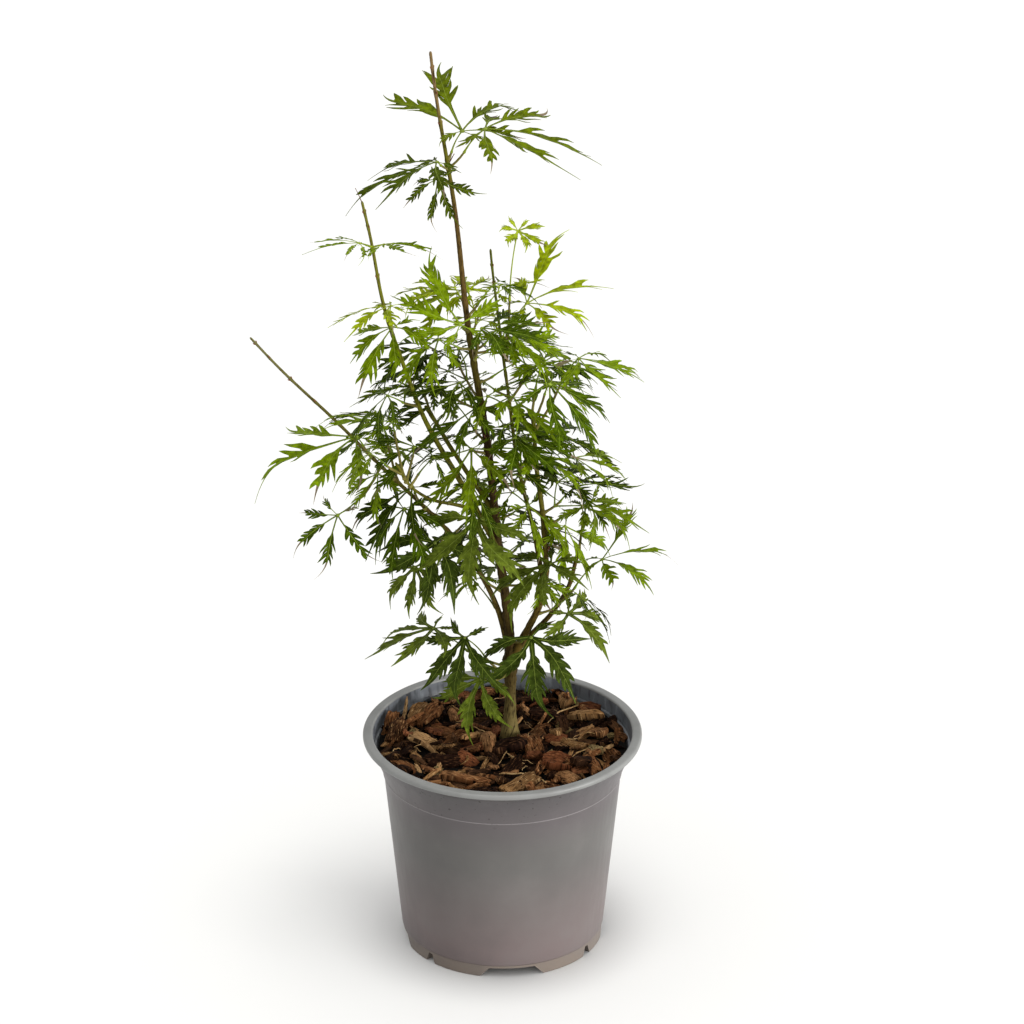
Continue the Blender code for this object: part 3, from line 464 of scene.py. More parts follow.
def smooth(mesh, sharp):
    """Smooth shading, but for edges sharper than an angle in degrees."""
    mesh.shade_smooth()
    mesh.set_sharp_from_angle(angle=radians(sharp))


class Piece:
    """Vertices, faces and texture places that are gathered for one joined mesh."""

    def __init__(self):
        self.verts = []
        self.faces = []
        self.places = []

    def add(self, verts, faces, places=None):
        first = len(self.verts)
        self.verts += verts
        self.faces += [tuple(index + first for index in face) for face in faces]
        self.places += places or [(vert.x, vert.z) for vert in verts]

    def build(self, name, finishes, slot, nodes=(), sharp=60):
        """The piece as an object that rides on the plant and stands for the given solids."""
        mesh = mesh_of(name, self.verts, self.faces)
        layer = mesh.uv_layers.new(name="place")
        for loop in mesh.loops:
            layer.data[loop.index].uv = self.places[loop.vertex_index]
        for finish in finishes:
            mesh.materials.append(finish)
        smooth(mesh, sharp)
        item = put(name, mesh)
        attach(item, ROOT)
        if nodes:
            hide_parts(*nodes)
        return item


def srgb(red, green, blue):
    """Linear colour from screen values of 0 to 255."""
    return tuple(((value / 255 + 0.055) / 1.055) ** 2.4 if value > 10 else value / 255 / 12.92
                 for value in (red, green, blue))


def scaled(colour, factor):
    """A linear colour made lighter or darker."""
    return tuple(min(value * factor, 1.0) for value in colour)


def plug(tree, node, inputs):
    """Set or link a node's inputs, each by its name or number."""
    for key, value in inputs.items():
        if isinstance(value, bpy.types.NodeSocket):
            tree.links.new(value, node.inputs[key])
        else:
            node.inputs[key].default_value = value


def add_node(tree, kind, output, inputs, **settings):
    """Add a shader node; gives back one of its outputs."""
    node = tree.nodes.new("ShaderNode" + kind)
    for key, value in settings.items():
        setattr(node, key, value)
    plug(tree, node, inputs)
    return node.outputs[output]


def remap(tree, value, low, high, to_low=0.0, to_high=1.0):
    """Map a value from one range to another, and clamp it there."""
    return add_node(tree, "MapRange", "Result", {
        "Value": value, "From Min": low, "From Max": high, "To Min": to_low, "To Max": to_high})


class Finish:
    """A Principled material that is built up layer by layer."""

    def __init__(self, name, colour, roughness, specular=0.5):
        self.material = bpy.data.materials.new(name)
        self.material.use_nodes = True
        self.tree = self.material.node_tree
        self.colour = (*colour, 1.0)
        self.shade({"Base Color": self.colour, "Roughness": roughness, "Specular IOR Level": specular})

    def shade(self, inputs):
        plug(self.tree, self.tree.nodes["Principled BSDF"], inputs)

    def where(self, source="Object", stretch=(1.0, 1.0, 1.0)):
        """Texture places on the object or along its own length, stretched per axis."""
        place = add_node(self.tree, "TexCoord", source, {})
        return add_node(self.tree, "Mapping", "Vector", {"Vector": place, "Scale": stretch})

    def height(self):
        """Height on the object, in metres."""
        return add_node(self.tree, "SeparateXYZ", "Z", {"Vector": self.where()})

    def noise(self, vector, scale, detail=4.0, roughness=0.55, distortion=0.0):
        return add_node(self.tree, "TexNoise", "Fac", {
            "Vector": vector, "Scale": scale, "Detail": detail,
            "Roughness": roughness, "Distortion": distortion})

    def times(self, first, second):
        return add_node(self.tree, "Math", "Value", {0: first, 1: second}, operation="MULTIPLY")

    def blend(self, colour, *amounts):
        """Lay a colour over what is there, by the product of amounts of 0 to 1."""
        amount = amounts[0]
        for factor in amounts[1:]:
            amount = self.times(amount, factor)
        self.colour = add_node(self.tree, "Mix", 2, {
            0: amount, 6: self.colour, 7: (*colour, 1.0)}, data_type="RGBA")
        self.shade({"Base Color": self.colour})

    def mask(self, value, low, high):
        return remap(self.tree, value, low, high)

    def lay(self, colour, value, low, high, *amounts):
        """Lay a colour where a value goes from low to high, which may be the lesser one."""
        self.blend(colour, self.mask(value, low, high), *amounts)

    def rough(self, value, low, high):
        self.shade({"Roughness": remap(self.tree, value, 0.0, 1.0, low, high)})

    def relief(self, value, depth, strength=1.0):
        """Relief of a depth in metres where the value is high."""
        self.shade({"Normal": add_node(self.tree, "Bump", "Normal", {
            "Height": value, "Distance": depth, "Strength": strength})})


def leaf_finish(name, colour, roughness=0.46, light=1.75, dark=0.50):
    """Leaf skin: one tint, mottled finely with painted highlights and shade over its own uneven tone, and
    puckered by a net of veins.
    """
    finish = Finish(name, colour, roughness, 0.02)
    place = finish.where()
    mottle = finish.noise(place, 260.0)
    # painted highlights and shade: strong light and dark mottling over the leaf's own uneven tone
    finish.lay(scaled(colour, light), mottle, 0.50, 0.72)
    finish.lay(scaled(colour, dark), mottle, 0.50, 0.30)
    net = add_node(finish.tree, "TexVoronoi", "Distance", {"Vector": place, "Scale": 750.0},
                   feature="DISTANCE_TO_EDGE")
    finish.relief(net, 0.10 * MM, 0.5)
    finish.rough(mottle, roughness - 0.08, roughness + 0.12)
    return finish.material


def plain_finish(name, colour, roughness, scale=300.0, spread=0.25, relief=0.05 * MM):
    """One colour with fine light and dark mottling."""
    finish = Finish(name, colour, roughness, 0.12)
    mottle = finish.noise(finish.where(), scale)
    finish.lay(scaled(colour, 1.0 + spread), mottle, 0.50, 0.75)
    finish.lay(scaled(colour, 1.0 - spread), mottle, 0.50, 0.28)
    finish.relief(mottle, relief)
    return finish.material


def bark_finish(name, foot, fissure, bands):
    """Bark that changes its colour by height, with lengthwise cracks and pale flecks."""
    finish = Finish(name, srgb(*foot), 0.7, 0.06)
    height = finish.height()
    for low, high, colour in bands:
        finish.lay(srgb(*colour), height, low, high)
    streak = finish.noise(finish.where("UV", (1.0, 0.16, 1.0)), 900.0, 5.0, 0.65, 0.3)
    finish.lay(srgb(*fissure), streak, 0.50, 0.36)
    fleck = finish.noise(finish.where("UV", (0.5, 1.0, 1.0)), 700.0, 2.0)
    pale = tuple(min(value * 1.6 + 0.01, 1.0) for value in srgb(*bands[0][2]))
    finish.lay(pale, fleck, 0.60, 0.70, 0.55)
    finish.relief(streak, 0.25 * MM, 0.8)
    finish.rough(streak, 0.80, 0.55)
    return finish.material


def chip_finish(name, colour, dark, pale):
    """Split bark: long fibres, painted shade in their hollows and paler ridges, partly worn and partly painted
    highlight.
    """
    finish = Finish(name, colour, 0.78, 0.03)
    fibres = finish.noise(finish.where("UV", (0.25, 1.6, 1.0)), 900.0, 6.0, 0.65, 0.4)
    tone = finish.noise(finish.where("UV"), 9.0, 0.0)
    finish.lay(dark, tone, 0.46, 0.24, 0.75)
    finish.lay(pale, tone, 0.54, 0.76, 0.45)
    # painted shade in the fibres' hollows, and on their ridges a paler colour that is partly wear, partly
    # painted highlight
    finish.lay(dark, fibres, 0.48, 0.40, 0.95)
    finish.lay(pale, fibres, 0.56, 0.67, 0.75)
    finish.lay(dark, finish.noise(finish.where(), 160.0), 0.48, 0.34, 0.5)
    finish.relief(fibres, 0.5 * MM, 0.9)
    finish.rough(fibres, 0.9, 0.62)
    return finish.material


# ---------------------------------------------------------------- leaves

# Looks: half width of a lobe's body and length of its teeth, as parts of the lobe's
# length, the angle in degrees between the teeth and the lobe, how narrow the lobe's
# foot is, and the part of the lobes that end in a withered tail.
LOBE_STYLES = {
    "young": (0.034, 0.205, 34, 0.34, 0.36),
    "mid": (0.034, 0.200, 34, 0.38, 0.22),
    "dark": (0.031, 0.180, 34, 0.46, 0.26),
    "low": (0.074, 0.140, 34, 0.50, 0.14),
    "lace": (0.014, 0.100, 44, 0.60, 0.50),
    "wisp": (0.026, 0.130, 40, 0.40, 0.70),
    "bud": (0.070, 0.170, 32, 0.50, 0.25),
    "star": (0.020, 0.165, 36, 0.60, 0.45),
}
TRIMS = {"low": (0.84, 1.02), "bud": (0.9, 1.1), "wisp": (0.55, 0.95)}  # lobe lengths, as parts
PLAIN_TRIM = (0.80, 1.10)
LIFTS = {  # lobes that rise from the hub, by mass: for all, or by number
    "back_shoot": {lobe: 0.75 for lobe in range(7)},
    "back_top": {4: 0.66, 5: 0.25},
    "top_back": {2: 0.30, 3: 0.38, 4: 0.25},
    "right_end": {4: 0.80, 5: 0.45, 3: 0.15},
}
STYLE_LIFTS = {"low": 0.17}  # broad leaves that lie flat, as open stars
WITHERED = (("mid_right", 6), ("right_far", 0), ("left_hang", 6), ("low_back", 2))
MASS_STYLES = {"leader_top": "lace", "back_shoot": "bud", "top_hang": "wisp", "left_hang": "star"}
LOBE_TURN = 3  # degrees either way of a lobe's angle
SWING_WAVES, EDGE_WAVE, EDGE_WAVES = 5.0, 0.10, 24.0  # radians along a lobe, height, radians
LEAST_HALF = 0.0004  # of a lobe's length, at its tip
LOBE_SPANS = {  # how lobes differ, as parts of their length or in radians
    "sweep": (-0.18, 0.18), "swing": (-0.05, 0.05), "hook": (-2.2, 2.2), "rise": (-0.06, 0.12),
    "droop": (-0.8, 1.6), "roll": (-0.5, 0.5), "fold": (0.10, 0.42), "wave": (0.0, tau),
}
TEETH = (4, 5)  # on each side of a long lobe
SHORT_TEETH = 3
TOOTH_START, TOOTH_END = (0.18, 0.30), (0.72, 0.90)
ROOT_STATIONS = (0.0, 0.06, 0.12)  # places along a lobe before its teeth
TAIL_STATIONS = (0.25, 0.50, 0.75, 1.0)  # parts of what is left of it after them
TAIL_START = 0.70
BODY_SHAPE = ((0.0, 0.0), (0.10, 0.10), (0.24, 0.42), (0.45, 1.0), (0.60, 0.92), (0.80, 0.50),
              (0.90, 0.22), (0.96, 0.12), (1.0, 0.03))
TOOTH_SHAPE = ((0.0, 0.4), (0.26, 0.62), (0.42, 1.0), (0.56, 0.95), (0.72, 0.66), (0.84, 0.40), (1.0, 0.28))
TOOTH_ROWS = ((0.36, 0.72), (0.74, 0.44), (1.0, 0.0))  # how far out its rows are, and how wide
TOOTH_SIZE = (0.55, 1.35)
TOOTH_TURN = 7  # degrees either way of the slant
TOOTH_TILT, TOOTH_CURL = (-0.22, 0.22), (0.03, 0.10)
CURL_AHEAD, CURL_IN = 0.4, 0.2  # how a tooth's curl moves its tip
TOOTH_FOLD = 0.10  # how far a tooth's middle lies under its edges, in its widths
SHEET_THICK = 0.22 * MM
MIDRIB_HALF = 0.30 * MM
MIDRIB_RISE = 0.22 * MM
MIDRIB_THINS, MIDRIB_LEAST, MIDRIB_SINK = 0.85, 0.1, 0.2  # along the lobe, at its tip, at its edges
SIDE_VEIN_HALF = 0.12 * MM
SIDE_VEIN_THINS, SIDE_VEIN_RISE = 0.22, 0.05 * MM
VEIN_REACH, VEIN_SLOPE, VEIN_FIRST = 0.4, 0.8, 0.05  # where a tooth's vein leaves the midrib
HUB_SIDES = 8
HUB_BOSS = (0.022, 0.35 * MM)  # its radius: part of the blade, and more
HUB_RINGS = ((1.0, -0.25), (0.75, 0.30), (0.35, 0.50))  # radius and rise, as parts of its radius
STALK_LOOK = (0.62 * MM, 0.42 * MM)  # radius at the foot and near the blade
STALK_THINS = 1.6  # how soon the stalk is thin
STALK_ENDS = (0.45 * MM, 14, 0.30 * MM, 12)  # swelling at the twig and at the hub, and how soon it ends
STALK_STEPS, STALK_SIDES = 9, 7


def from_table(table, value):
    """Value between the rows of a short table, on straight lines."""
    for (low, first), (high, second) in zip(table, table[1:]):
        if value <= high:
            return first + (second - first) * (value - low) / (high - low)
    return table[-1][1]


class Lobe:
    """One lobe of a leaf, with its own sweep, roll and droop; lengths are parts of the lobe."""

    def __init__(self, leaf, index, chance, trim, lift):
        angle, share = LOBES[index]
        turn = radians(angle + chance.uniform(-LOBE_TURN, LOBE_TURN))
        self.leaf = leaf
        self.length = share * leaf.size * chance.uniform(*trim)
        self.cosine, self.sine = cos(turn), sin(turn)
        for name, span in LOBE_SPANS.items():
            setattr(self, name, chance.uniform(*span))
        self.rise += lift
        self.teeth = SHORT_TEETH if share <= SHORT_LOBE else chance.choice(TEETH)
        self.toothed = chance.uniform(*TOOTH_START), chance.uniform(*TOOTH_END)

    def place(self, along, aside, rise=0.0):
        tail = max(along - TAIL_START, 0.0)
        side = aside + self.sweep * along * along + self.hook * tail * tail
        side += self.swing * sin(SWING_WAVES * along)
        lift = rise + self.rise * along - TIP_SAG * along * along - self.droop * tail * tail
        lift += abs(aside) * self.fold + aside * sin(self.roll * along)
        lift += EDGE_WAVE * abs(aside) * sin(EDGE_WAVES * along + self.wave)
        return self.leaf.place((along * self.cosine - side * self.sine) * self.length,
                               (along * self.sine + side * self.cosine) * self.length,
                               lift * self.length)


def lobe_edge(style, along):
    """Half width of a lobe's body at a place along it."""
    body, _, _, foot, _ = LOBE_STYLES[style]
    return max(body * from_table(BODY_SHAPE, along), body * foot * (1.0 - along))


def row_faces(count):
    """Faces of a strip with rows of three points: its middle, its left and its right edge."""
    faces = []
    for low in range(0, 3 * count, 3):
        faces += [(low, low + 3, low + 4, low + 1), (low, low + 2, low + 5, low + 3)]
    return faces


def draw_lobe(lobe, style, blades, veins, tails, chance):
    """Add a lobe's blade, its veins and, on some lobes, its withered tail."""
    first, last = len(ROOT_STATIONS), len(ROOT_STATIONS) + 2 * lobe.teeth + 1
    start, end = lobe.toothed
    step = (end - start) / (2 * lobe.teeth + 1)
    stations = [*ROOT_STATIONS, *(start + step * index for index in range(2 * lobe.teeth + 2))]
    stations += [end + (1.0 - end) * part for part in TAIL_STATIONS]
    verts = []
    for along in stations:
        half = max(lobe_edge(style, along), LEAST_HALF)
        verts += [lobe.place(along, 0.0), lobe.place(along, half), lobe.place(along, -half)]
    blade_end = len(stations) - 1
    if chance.random() < LOBE_STYLES[style][-1]:
        tails.add(verts[3 * last:], row_faces(blade_end - last))
        blade_end = last
    faces = row_faces(blade_end)
    lines = []
    for side in (1, -1):
        for start in range(first, last - 1, 2):
            start += side < 0
            lines.append(draw_tooth(lobe, style, stations[start:start + 3], start, side, verts, faces, chance))
    blades.add(verts, faces)
    add_midrib(lobe, stations[:blade_end + 1], veins)
    for line in lines:
        add_side_vein(lobe, line, veins)


def draw_tooth(lobe, style, stations, start, side, verts, faces, chance):
    """Add one tooth between three stations of a lobe's edge; gives the line of its vein."""
    _, tooth, slant, _, _ = LOBE_STYLES[style]
    low, middle, high = stations
    size = tooth * from_table(TOOTH_SHAPE, middle) * chance.uniform(*TOOTH_SIZE)
    angle = radians(slant + chance.uniform(-TOOTH_TURN, TOOTH_TURN))
    edge = lobe_edge(style, middle)
    tilt, curl = chance.uniform(*TOOTH_TILT), chance.uniform(*TOOTH_CURL)
    root = max(middle - (edge + VEIN_REACH * size) * VEIN_SLOPE, VEIN_FIRST)
    line = [(root, 0.0, 0.0), (middle, side * edge, 0.0)]
    previous = [3 * (start + step) + (1 if side > 0 else 2) for step in range(3)]
    for part, share in TOOTH_ROWS:
        along = middle + size * part * cos(angle) + curl * part * part * CURL_AHEAD
        aside = edge + size * part * sin(angle) - curl * part * part * CURL_IN
        rise = tilt * size * part
        wide = (high - low) / 2 * sin(angle) * share
        x, y = sin(angle) * wide, cos(angle) * wide
        row = [len(verts) + step for step in range(3 if share else 1)]
        if share:
            verts.append(lobe.place(along - x, side * (aside + y), rise))
            line.append((along, side * aside, rise))
        verts.append(lobe.place(along, side * aside, rise - TOOTH_FOLD * wide))
        if share:
            verts.append(lobe.place(along + x, side * (aside - y), rise))
        for step in range(2):
            corners = (*previous[step:step + 2], *reversed(row[step:step + 2] or row))
            faces.append(corners[::side])
        previous = row
    return line


def strip_faces(rows, width):
    """Quads between rows of points."""
    starts = [row * width + step for row in range(rows - 1) for step in range(width - 1)]
    return [(low, low + 1, low + width + 1, low + width) for low in starts]


def add_midrib(lobe, stations, veins):
    """The raised pale rib along the middle of a lobe."""
    verts = []
    for along in stations:
        thin = max(1.0 - MIDRIB_THINS * along, MIDRIB_LEAST)
        half = MIDRIB_HALF * thin / lobe.length
        top = MIDRIB_RISE * thin / lobe.length
        rows = (half, -MIDRIB_SINK * top), (0.0, top), (-half, -MIDRIB_SINK * top)
        verts += [lobe.place(along, aside, rise) for aside, rise in rows]
    veins.add(verts, strip_faces(len(stations), 3))


def add_side_vein(lobe, line, veins):
    """A fine flat vein from the midrib out into a tooth."""
    verts = []
    for index, (along, aside, rise) in enumerate(line):
        half = SIDE_VEIN_HALF * (1.0 - SIDE_VEIN_THINS * index) / lobe.length
        lift = rise + SIDE_VEIN_RISE / lobe.length
        verts += [lobe.place(along - half, aside, lift), lobe.place(along + half, aside, lift)]
    order = 1 if line[-1][1] > 0 else -1
    veins.add(verts, [corners[::order] for corners in strip_faces(len(line), 2)])


def draw_hub(leaf, veins):
    """The small pale boss where the lobes and the stalk meet."""
    radius = HUB_BOSS[0] * leaf.size + HUB_BOSS[1]
    verts = [leaf.place(radius * share * x, radius * share * y, rise * radius)
             for share, rise in HUB_RINGS for x, y in circle(HUB_SIDES)]
    *sides, _, top = ring_faces(len(HUB_RINGS), HUB_SIDES)
    veins.add(verts, [*sides, top])


def curve_through(points, steps):
    """A smooth curve from the first of three points to the last, drawn towards the middle one."""
    start, middle, end = points
    parts = [step / steps for step in range(steps + 1)]
    return [start.lerp(middle, part).lerp(middle.lerp(end, part), part) for part in parts]


def draw_stalk(leaf, stalks):
    """A leaf's stalk: swollen where it clasps the twig, thin, and widening into the hub."""
    radii = []
    for index in range(STALK_STEPS + 1):
        part = index / STALK_STEPS
        radius = STALK_LOOK[0] + (STALK_LOOK[1] - STALK_LOOK[0]) * min(part * STALK_THINS, 1.0)
        foot, foot_ends, head, head_ends = STALK_ENDS
        swell = foot * exp(-part * foot_ends) + head * exp((part - 1.0) * head_ends)
        radii.append(radius + swell)
    stalks.add(*tube(curve_through(leaf.stalk, STALK_STEPS), radii, STALK_SIDES))


# ---------------------------------------------------------------- limbs

LIMB_LOOKS = {  # sides, ring gap and depth of the relief
    "trunk": (36, 0.9 * MM, 0.34 * MM),
    "bough_right": (24, 1.0 * MM, 0.20 * MM),
}
PLAIN_LIMB = (20, 1.1 * MM, 0.12 * MM)
BARE_NODES = {
    "trunk": (0.905, 0.945, 0.978),
    "bough_left_leader": (0.80, 0.93, 0.97),
    "bough_left_low": (0.715, 0.79, 0.865, 0.935, 0.98),
    "bough_back": (0.90, 0.95),
    "bough_right_low": (0.72,),
}
KNOBS = {"bough_left_low": (0.40, 1.5 * MM)}  # an old swollen joint: place and height
SPURS = (  # stem, place, heading, rise, length and radius in mm
    ("trunk", 0.850, 15, 60, 7, 0.38), ("bough_left_leader", 0.990, 150, 70, 10, 0.26),
    ("bough_right", 0.46, 330, 70, 9, 0.6), ("trunk", 0.47, 250, 40, 8, 0.5),
)
SPUR_STEPS = 8
FLARE = (2.0 * MM, 12 * MM, 17 * MM)  # the trunk's foot: how much wider, how far up and from where
FINE_TOP = 0.15 * MM  # how much the bark draws in towards the trunk's tip
COLLAR = (0.150, 0.9 * MM, 0.016)  # swollen node low on the trunk: place, height, half length
JOINT_RISE, JOINT_LENGTH = 0.9 * MM, 5 * MM  # where a bough leaves its carrier
KNOB_HALF = 2.6 * MM
WRINKLES = (0.35, 2.6)  # of the collar: height, and radians to the millimetre
ROUND_END = 0.55  # how much the last ring of a stem draws in
NODE_RING, NODE_SCAR = (0.16, 0.0, 2.2 * MM), (-0.07, 3.4 * MM, 0.9 * MM)  # height in radii, place, width
BUD_WIDE, BUD_SIDES = 0.26, 7  # of its length
BUD_SHAPE = ((0.0, 0.55), (0.18, 0.95), (0.42, 1.0), (0.70, 0.62), (0.90, 0.24), (1.0, 0.05))

# Bark colours: at the foot, in the cracks, and from which height to which each next one comes.
BARKS = {
    "trunk": ((98, 86, 50), (26, 16, 4), (
        (0.155, 0.200, (56, 44, 16)), (0.270, 0.345, (48, 33, 11)),
        (0.385, 0.405, (66, 58, 13)), (0.435, 0.465, (80, 62, 28)),
        (0.530, 0.560, (86, 84, 18)), (0.580, 0.605, (106, 86, 54)))),
    "bough_left_leader": ((64, 52, 20), (34, 28, 5), (
        (0.22, 0.27, (76, 72, 18)), (0.33, 0.41, (90, 94, 16)), (0.44, 0.52, (98, 96, 34)))),
    "bough_left_low": ((68, 50, 24), (34, 24, 7), (
        (0.20, 0.24, (76, 64, 24)), (0.29, 0.35, (86, 82, 34)), (0.38, 0.44, (98, 96, 62)))),
    "bough_right": ((82, 68, 28), (34, 25, 7), (
        (0.19, 0.23, (74, 60, 20)), (0.28, 0.35, (84, 84, 20)), (0.38, 0.44, (78, 84, 22)))),
}


def nodes_of(name):
    """Places along a stem where leaves or boughs leave it, or have left it."""
    places = [row[2] for row in (*MASSES, *STEMS) if row[1] == name]
    return sorted(places + list(BARE_NODES.get(name, ())))


def bump(away, width):
    return exp(-(away / width) ** 2)


def swell_of(name, stem, part, nodes):
    """How far a stem's bark stands out at its nodes, joints and foot."""
    radius, travel = stem.radius(part), part * stem.length
    joint = 0.0 if name == "trunk" else JOINT_RISE
    swell = joint * exp(-max(travel - stem.radius(0.0) * 2, 0.0) / JOINT_LENGTH)
    for node in nodes:
        away = (part - node) * stem.length
        for height, place, width in (NODE_RING, NODE_SCAR):
            swell += height * radius * bump(away - place, width)
    if name in KNOBS:
        swell += KNOBS[name][1] * bump((part - KNOBS[name][0]) * stem.length, KNOB_HALF)
    if name == "trunk":
        wrinkle = 1.0 + WRINKLES[0] * sin(travel / MM * WRINKLES[1])
        swell += COLLAR[1] * wrinkle * bump(part - COLLAR[0], COLLAR[2])
        swell += FLARE[0] * bump(max(travel - FLARE[2], 0.0), FLARE[1]) - FINE_TOP * smooth_step(0.5, 0.8, part)
    return swell


def draw_limb(name, stem):
    """A stem with the relief of its bark, rings at its nodes and a rounded end."""
    sides, gap, depth = LIMB_LOOKS.get(name, PLAIN_LIMB)
    count = round(stem.length / gap)
    nodes = nodes_of(name)
    across = stem.at(0.0)[1].orthogonal().normalized()
    verts, places = [], []
    for ring in range(count + 1):
        part = ring / count
        centre, way = stem.at(part)
        across = (across - way * across.dot(way)).normalized()
        other = way.cross(across)
        radius = stem.radius(part)
        travel = part * stem.length
        rough = depth * (1.0 - 0.75 * smooth_step(0.05, 0.75, part))
        swell = swell_of(name, stem, part, nodes)
        tip = 1.0 if ring < count else ROUND_END
        for step, (x, y) in enumerate(circle(sides)):
            turn = tau * step / sides
            out = across * x + other * y
            grain = Vector((x, y, travel / (radius * 5))) * 2.4
            relief = noise.fractal(grain, 0.7, 2.1, 4) * rough
            relief += noise.noise(Vector((turn, 0.0, travel / (9 * MM)))) * rough * 0.5
            verts.append(centre + out * (radius + swell + relief) * tip)
            places.append((turn * radius, travel))
    return verts, ring_faces(count + 1, sides), places


def bud_at(stem, part, side, length, buds):
    """A pointed bud in the angle of a stem, leaning out to one side."""
    centre, way = stem.at(part)
    out = Matrix.Rotation(side, 3, way) @ way.orthogonal().normalized()
    start = centre + out * stem.radius(part) * 0.7
    aim = (way * 0.85 + out * 0.5).normalized()
    points = [start + aim * length * share for share, _ in BUD_SHAPE]
    buds.add(*tube(points, [length * BUD_WIDE * wide for _, wide in BUD_SHAPE], BUD_SIDES))


def add_spur(stem, part, heading, rise, length, radius, buds):
    """A bare stalk that a leaf has left, with a small dry end."""
    start = stem.at(part)[0]
    aim = pointing(heading, rise)
    bend = pointing(heading + 40, rise - 25) * length * MM * 0.25
    middle, end = start + aim * length * MM * 0.5, start + aim * length * MM + bend
    radii = [radius * MM * (1.5 - 0.9 * step / SPUR_STEPS) for step in range(SPUR_STEPS)] + [radius * MM * 0.9]
    buds.add(*tube(curve_through([start, middle, end], SPUR_STEPS), radii, BUD_SIDES))


# ---------------------------------------------------------------- pot

POT_TURNS = 256
FOOT_TOP = 9 * MM
FOOT_OUT, FOOT_IN = 69.0 * MM, 63.4 * MM
WALL_LOW, NECK, NECK_AT, RIM, POT_TOP = 69.6 * MM, 80.3 * MM, 117 * MM, 95 * MM, 153.5 * MM
RIM_WIDTH = 6.8 * MM
LIP_LOW = 149.4 * MM
FLARE_POWER = 1.7
WALL = 1.8 * MM
WALL_ROOM = 0.3 * MM  # between the filling and the pot's wall
SEAM_AT = 124.8 * MM  # fine moulded line round the pot under its flare
SEAM_RISE, SEAM_HALF = 0.28 * MM, 0.35 * MM
SEAM = ((-1.0, 0.15), (-0.5, 0.85), (0.0, 1.0), (0.5, 0.85), (1.0, 0.15))
STEP_AT = 143.0 * MM  # step on the inside below the lip
INSIDE_FROM = 120 * MM  # the wall's inside shows above this
FLOOR_UNDER, FLOOR = 7.5 * MM, 2 * MM
PAD = 11 * MM
WIDE_NOTCH, NARROW_NOTCH = (46 * MM, 31 * MM), (9 * MM, 3 * MM)
NOTCH_TURN = 5.5  # degrees that the gaps are turned on the pot
NARROW_TURNS = (51, 129, 231, 309)
NOTCH_TOP = 7 * MM
DRAIN_RADIUS, DRAIN_RING = 4.5 * MM, 44 * MM
POT_SHARP = 38  # degrees


def wall_at(height):
    """Outer radius of the pot's wall."""
    if height <= NECK_AT:
        return WALL_LOW + (NECK - WALL_LOW) * (height - FOOT_TOP) / (NECK_AT - FOOT_TOP)
    return NECK + (RIM - NECK) * ((height - NECK_AT) / (POT_TOP - NECK_AT)) ** FLARE_POWER


def wall_points(heights, inset=0.0):
    """Points of the wall's section at heights in mm, moved in by the inset."""
    return [(wall_at(height * MM) - inset, height * MM) for height in heights]


def room_at(height):
    """Radius that the filling may reach at a height."""
    return min(wall_at(height) - WALL - 0.5 * MM, RIM - RIM_WIDTH - 1.2 * MM) - WALL_ROOM


def rounded(corner, before, after, radius, steps=4):
    """Points that round a corner of a section between the points before and after it."""
    corner, before, after = Vector(corner), Vector(before), Vector(after)
    ends = [corner + (point - corner).normalized() * radius for point in (before, after)]
    return [tuple(point) for point in curve_through([ends[0], corner, ends[1]], steps)]


def pot_section():
    """Half section of the pot from the middle of its underside, round the lip, to its floor."""
    inside, floor_top = RIM - RIM_WIDTH, FLOOR_UNDER + FLOOR
    return [
        (0.0, 0.0), *rounded((PAD, 0.0), (0.0, 0.0), (PAD, 6 * MM), 0.8 * MM),
        (PAD, FLOOR_UNDER - 0.5 * MM), (PAD + 0.6 * MM, FLOOR_UNDER),
        (FOOT_IN - 0.6 * MM, FLOOR_UNDER), (FOOT_IN, FLOOR_UNDER - 0.6 * MM),
        *rounded((FOOT_IN, 0.0), (FOOT_IN, 6 * MM), (FOOT_OUT, 0.0), 0.8 * MM),
        *rounded((FOOT_OUT, 0.0), (FOOT_IN, 0.0), (FOOT_OUT, 8 * MM), 0.8 * MM),
        (FOOT_OUT, FOOT_TOP - 0.5 * MM), (FOOT_OUT + 0.15 * MM, FOOT_TOP - 0.1 * MM),
        *rounded((WALL_LOW, FOOT_TOP), (FOOT_OUT, FOOT_TOP), (wall_at(20 * MM), 20 * MM), 0.9 * MM),
        *wall_points((20, 40, 60, 80, 100, 117, 120, 122.5)),
        (wall_at(SEAM_AT - 2 * SEAM_HALF), SEAM_AT - 2 * SEAM_HALF),
        *((wall_at(SEAM_AT + part * SEAM_HALF) + SEAM_RISE * share, SEAM_AT + part * SEAM_HALF)
          for part, share in SEAM),
        *wall_points((126, 129, 132, 135, 138, 141, 143.6, 146.4, 148.6)),
        (wall_at(LIP_LOW) + 0.1 * MM, LIP_LOW), (wall_at(LIP_LOW) + 0.9 * MM, LIP_LOW + 0.15 * MM),
        *rounded((RIM, LIP_LOW + 1 * MM), (RIM - 1 * MM, LIP_LOW + 0.15 * MM), (RIM, POT_TOP), 0.9 * MM),
        *rounded((RIM, POT_TOP), (RIM, LIP_LOW), (RIM - 6 * MM, POT_TOP), 1.9 * MM, 7),
        *rounded((inside, POT_TOP), (RIM, POT_TOP), (inside, STEP_AT), 1.5 * MM, 6),
        (inside - 0.2 * MM, 149 * MM), (inside - 0.6 * MM, STEP_AT + 0.7 * MM), (inside - 1.0 * MM, STEP_AT),
        (wall_at(STEP_AT) - WALL - 0.9 * MM, STEP_AT - 0.3 * MM),
        (wall_at(140 * MM) - WALL - 0.5 * MM, 140 * MM),
        *wall_points((138, 134, 128, 122, 114, 80, 40), WALL),
        (WALL_LOW - WALL, floor_top + WALL), (WALL_LOW - 2 * WALL, floor_top), (0.0, floor_top),
    ]


